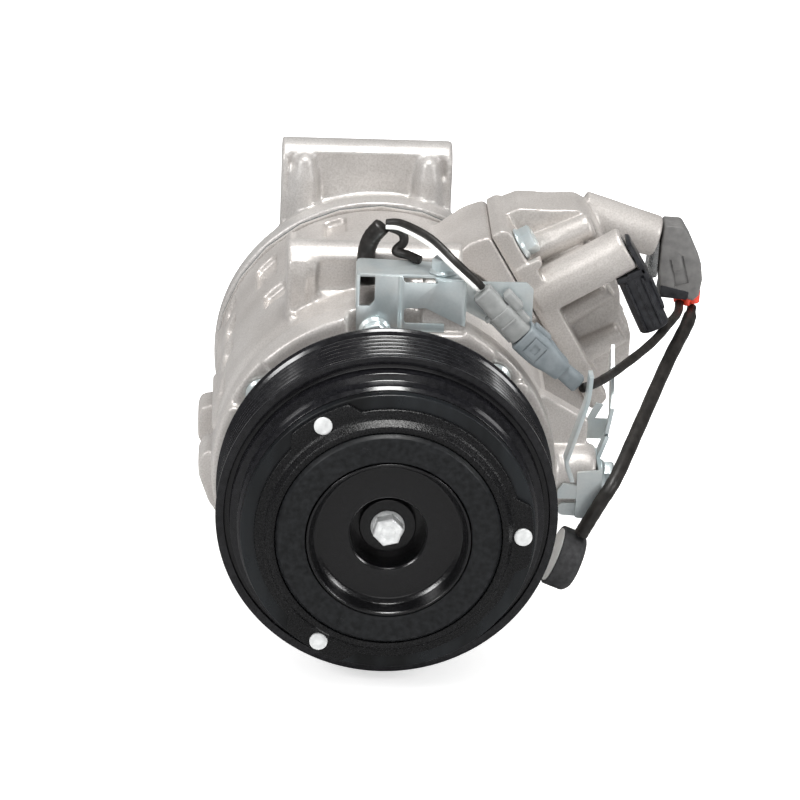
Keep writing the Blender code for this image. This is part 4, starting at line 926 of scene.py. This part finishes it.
# ------------------------------------------------------------------ harness
ca = spline([(119.0, 150.5, 31.2), (117.6, 140, 30.6), (112.5, 121, 33.0), (103.5, 102, 31.2), (90.5, 80, 29.8), (80.5, 57, 32.8), (72.8, 43.6, 35.0)], 12)
done(tube(ca, 1.7, 22, [1.75 + 0.05 * sin(0.9 * k) for k in range(len(ca))]), "v_cable_a", "housing", "sheath", ["cable_a"], angle=0)
cbp = spline([(124.2, 150.5, 28.8), (121.5, 140, 25.5), (112.0, 114, 19.5), (98.0, 74, 8.0), (87.6, 46, -1.5), (81.4, 39.2, -9.4), (76.4, 37.6, -18.2), (74.8, 37.8, -21.6)], 14)
rad = [2.68 + 0.05 * sin(1.1 * k) for k in range(len(cbp))]
for k in range(9):
    rad[k] = 1.9 if k < 7 else 2.2
done(tube(cbp, 2.4, 24, rad), "v_cable_b", "housing", "sheath", ["cable_b"], angle=0)
u = Vector((0.932, -0.03, -0.36)).normalized()
pc = W(69.6, 41.0, -33.2)
rp = turned(rounded([(0, 0.5), (10.2, 0.5, 0.2), (10.6, 0, 0.2), (11.6, 0, 0.4), (11.6, 7.8, 2.4), (9.6, 9.6, 1.4), (0, 9.8)], closed=False, seg=6),
            pc - u * 4.8 * MM, pc + u, 84)
done(rp, "v_round_plug", "housing", "plug_black", ["round_plug"], angle=40)
face = turned(rounded([(0, 0), (10.4, 0), (10.4, 0.35, 0.1), (0, 0.35)], closed=False), pc - u * 4.95 * MM, pc + u, 72)
done(face, "v_round_plug_insert", "housing", "white", ())

# -------------------------------------------------------------- side bracket
sb = xz_prism(rounded([(72.6, -17.2, 1), (78.5, -17.6, 2), (81.4, -15.4, 2), (82.0, -12, 1), (82.0, 2.0, 0.5), (72.6, 1.0, 0.5)]), 43.0, 44.4)
sb = join(sb, xz_prism(rounded([(65.6, -9.6, 0.6), (73.4, -9.6), (73.4, -4.4, 0.4), (67.6, -3.6, 1.2), (65.6, -6.4, 0.8)]), 43.2, 44.6),
          xz_prism(rounded([(66.4, -17.0, 1.4), (73.4, -17.4), (73.4, -12.2), (66.4, -12.2, 1.6)]), 45.2, 46.4), box(72.6, 73.8, 43.2, 46.4, -17.1, -4.6),
          box(80.6, 82.0, 43.0, 66, -13.5, 2.0),
          bar(W(81.3, 61, 0.4), W(84.6, 63, 8.6), 10, 1.4, up=(1, 0, 0)),
          bar(W(84.3, 62.9, 8.0), W(86.5, 68.3, 16.0), 10, 1.4, up=(1, 0, 0)),
          bar(W(86.5, 68.2, 15.4), W(87.3, 88.5, 33.6), 8, 1.3, up=(1, 0, 0)),
          # curled tab behind the boss
          xz_prism([(76.4, 4.4), (77.6, 12.4), (80.6, 18.8), (83.4, 18.2), (80.2, 12.0), (79.8, 4.4)], 69.4, 70.6),
          box(79.6, 85.4, 69.4, 70.6, 4.4, 12.4))
sb = cut(sb, rod(W(78, 57, -5.5), W(84, 57, -5.5), 3.2))
done(eased(sb, 0.3, 3, 35), "v_side_bracket", "housing", "zinc", ["side_bracket"])
sp = spline([(75.0, 0, 43.2), (74.2, 0, 33.5), (71.9, 0, 24.5), (68.4, 0, 12.0), (67.6, 0, 8.0), (70.0, 0, 1.0)], 6)
loop = [(x + 0.8, z) for x, _, z in sp] + [(x - 0.8, z) for x, _, z in reversed(sp)]
st = xz_prism(loop, 33.5, 41.0, edge=0.25)
done(st, "v_harness_strip", "housing", "zinc", ["harness_strip"])

# ------------------------------------------- carried-over inner parts
inner = {
    "drive_shaft": "ground", "lug_plate": "steel", "swash_plate": "ground", "thrust_bearing": "ground",
    "shaft_seal": "rubber", "front_shaft_bearing": "steel", "rear_shaft_bearing": "steel", "pulley_bearing_outer_race": "ground",
    "pulley_bearing_inner_race": "ground", "field_coil": "copper", "valve_plate": "cast_block", "head_gasket": "gasket",
    "swash_return_spring": "steel", "control_valve_plunger": "ground",
}
for k in range(1, 8):
    inner["piston_%d" % k] = "ground"
for name, mat in inner.items():
    o = NODES[name]
    o.data.materials.clear()
    o.data.materials.append(M[mat])

# ---------------------------------------------------------------- the stage
bm = bmesh.new()
bmesh.ops.create_grid(bm, x_segments=1, y_segments=1, size=12.0)
floor = from_bm(bm, "floor")
floor.location = (0, 0, -0.0675)
n = Nodes("floor_paper")
n.put(color=n.ramp(n.noise(3, 2), [(0.3, (0.93, 0.93, 0.93)), (0.7, (0.95, 0.95, 0.95))]), rough=0.9, spec=0.0)
n.b.inputs["Emission Color"].default_value = (1, 1, 1, 1)
n.b.inputs["Emission Strength"].default_value = 0.55
out = n.t.nodes["Material Output"]
dark = n.t.nodes.new("ShaderNodeBsdfDiffuse")
dark.inputs["Color"].default_value = (0.16, 0.16, 0.16, 1)
sh = n.t.nodes.new("ShaderNodeMixShader")
ray = n.t.nodes.new("ShaderNodeLightPath")
n.t.links.new(ray.outputs["Is Glossy Ray"], sh.inputs["Fac"])
n.t.links.new(n.b.outputs["BSDF"], sh.inputs[1])
n.t.links.new(dark.outputs["BSDF"], sh.inputs[2])
n.t.links.new(sh.outputs["Shader"], out.inputs["Surface"])
floor.data.materials.append(n.m)


def area(name, loc, target, size, power, color=(1, 1, 1), size_y=None):
    li = bpy.data.lights.new(name, "AREA")
    li.shape = "RECTANGLE"
    li.size = size
    li.size_y = size_y or size
    li.energy = power
    li.color = color
    o = bpy.data.objects.new(name, li)
    coll.objects.link(o)
    o.location = loc
    o.rotation_euler = (Vector(target) - Vector(loc)).to_track_quat("-Z", "Y").to_euler()
    return o


area("top_soft", (0.0, -0.25, 0.95), (0, -0.12, 0), 0.26, 8.5, (1, 0.995, 0.98), size_y=0.5)
area("key_left", (-0.95, -0.9, 0.75), (0, -0.1, 0), 0.35, 5.5)
area("fill_right", (1.05, -0.7, 0.6), (0, -0.1, 0), 0.35, 4.0)
area("front_low", (0.0, -1.7, 0.25), (0, -0.2, 0), 0.5, 1.0)

world = bpy.data.worlds.new("world")
scene.world = world
world.use_nodes = True
wt = world.node_tree
bg = wt.nodes["Background"]
bg.inputs["Color"].default_value = (1.0, 1.0, 1.0, 1.0)
lp = wt.nodes.new("ShaderNodeLightPath")
mix = wt.nodes.new("ShaderNodeMix")
mix.inputs["A"].default_value = 0.92
mix.inputs["B"].default_value = 0.10
wt.links.new(lp.outputs["Is Glossy Ray"], mix.inputs["Factor"])
wt.links.new(mix.outputs["Result"], bg.inputs["Strength"])

cam = bpy.data.cameras.new("camera")
cam.lens = 188.684
cam.sensor_width = 36.0
cam.clip_start = 0.1
cam.clip_end = 60.0
co = bpy.data.objects.new("camera", cam)
coll.objects.link(co)
co.location = (-0.06303, -1.61543, 0.59991)
co.rotation_euler = (1.19472671, -0.03892022, -0.03164619)
scene.camera = co
scene.view_settings.view_transform = "Standard"
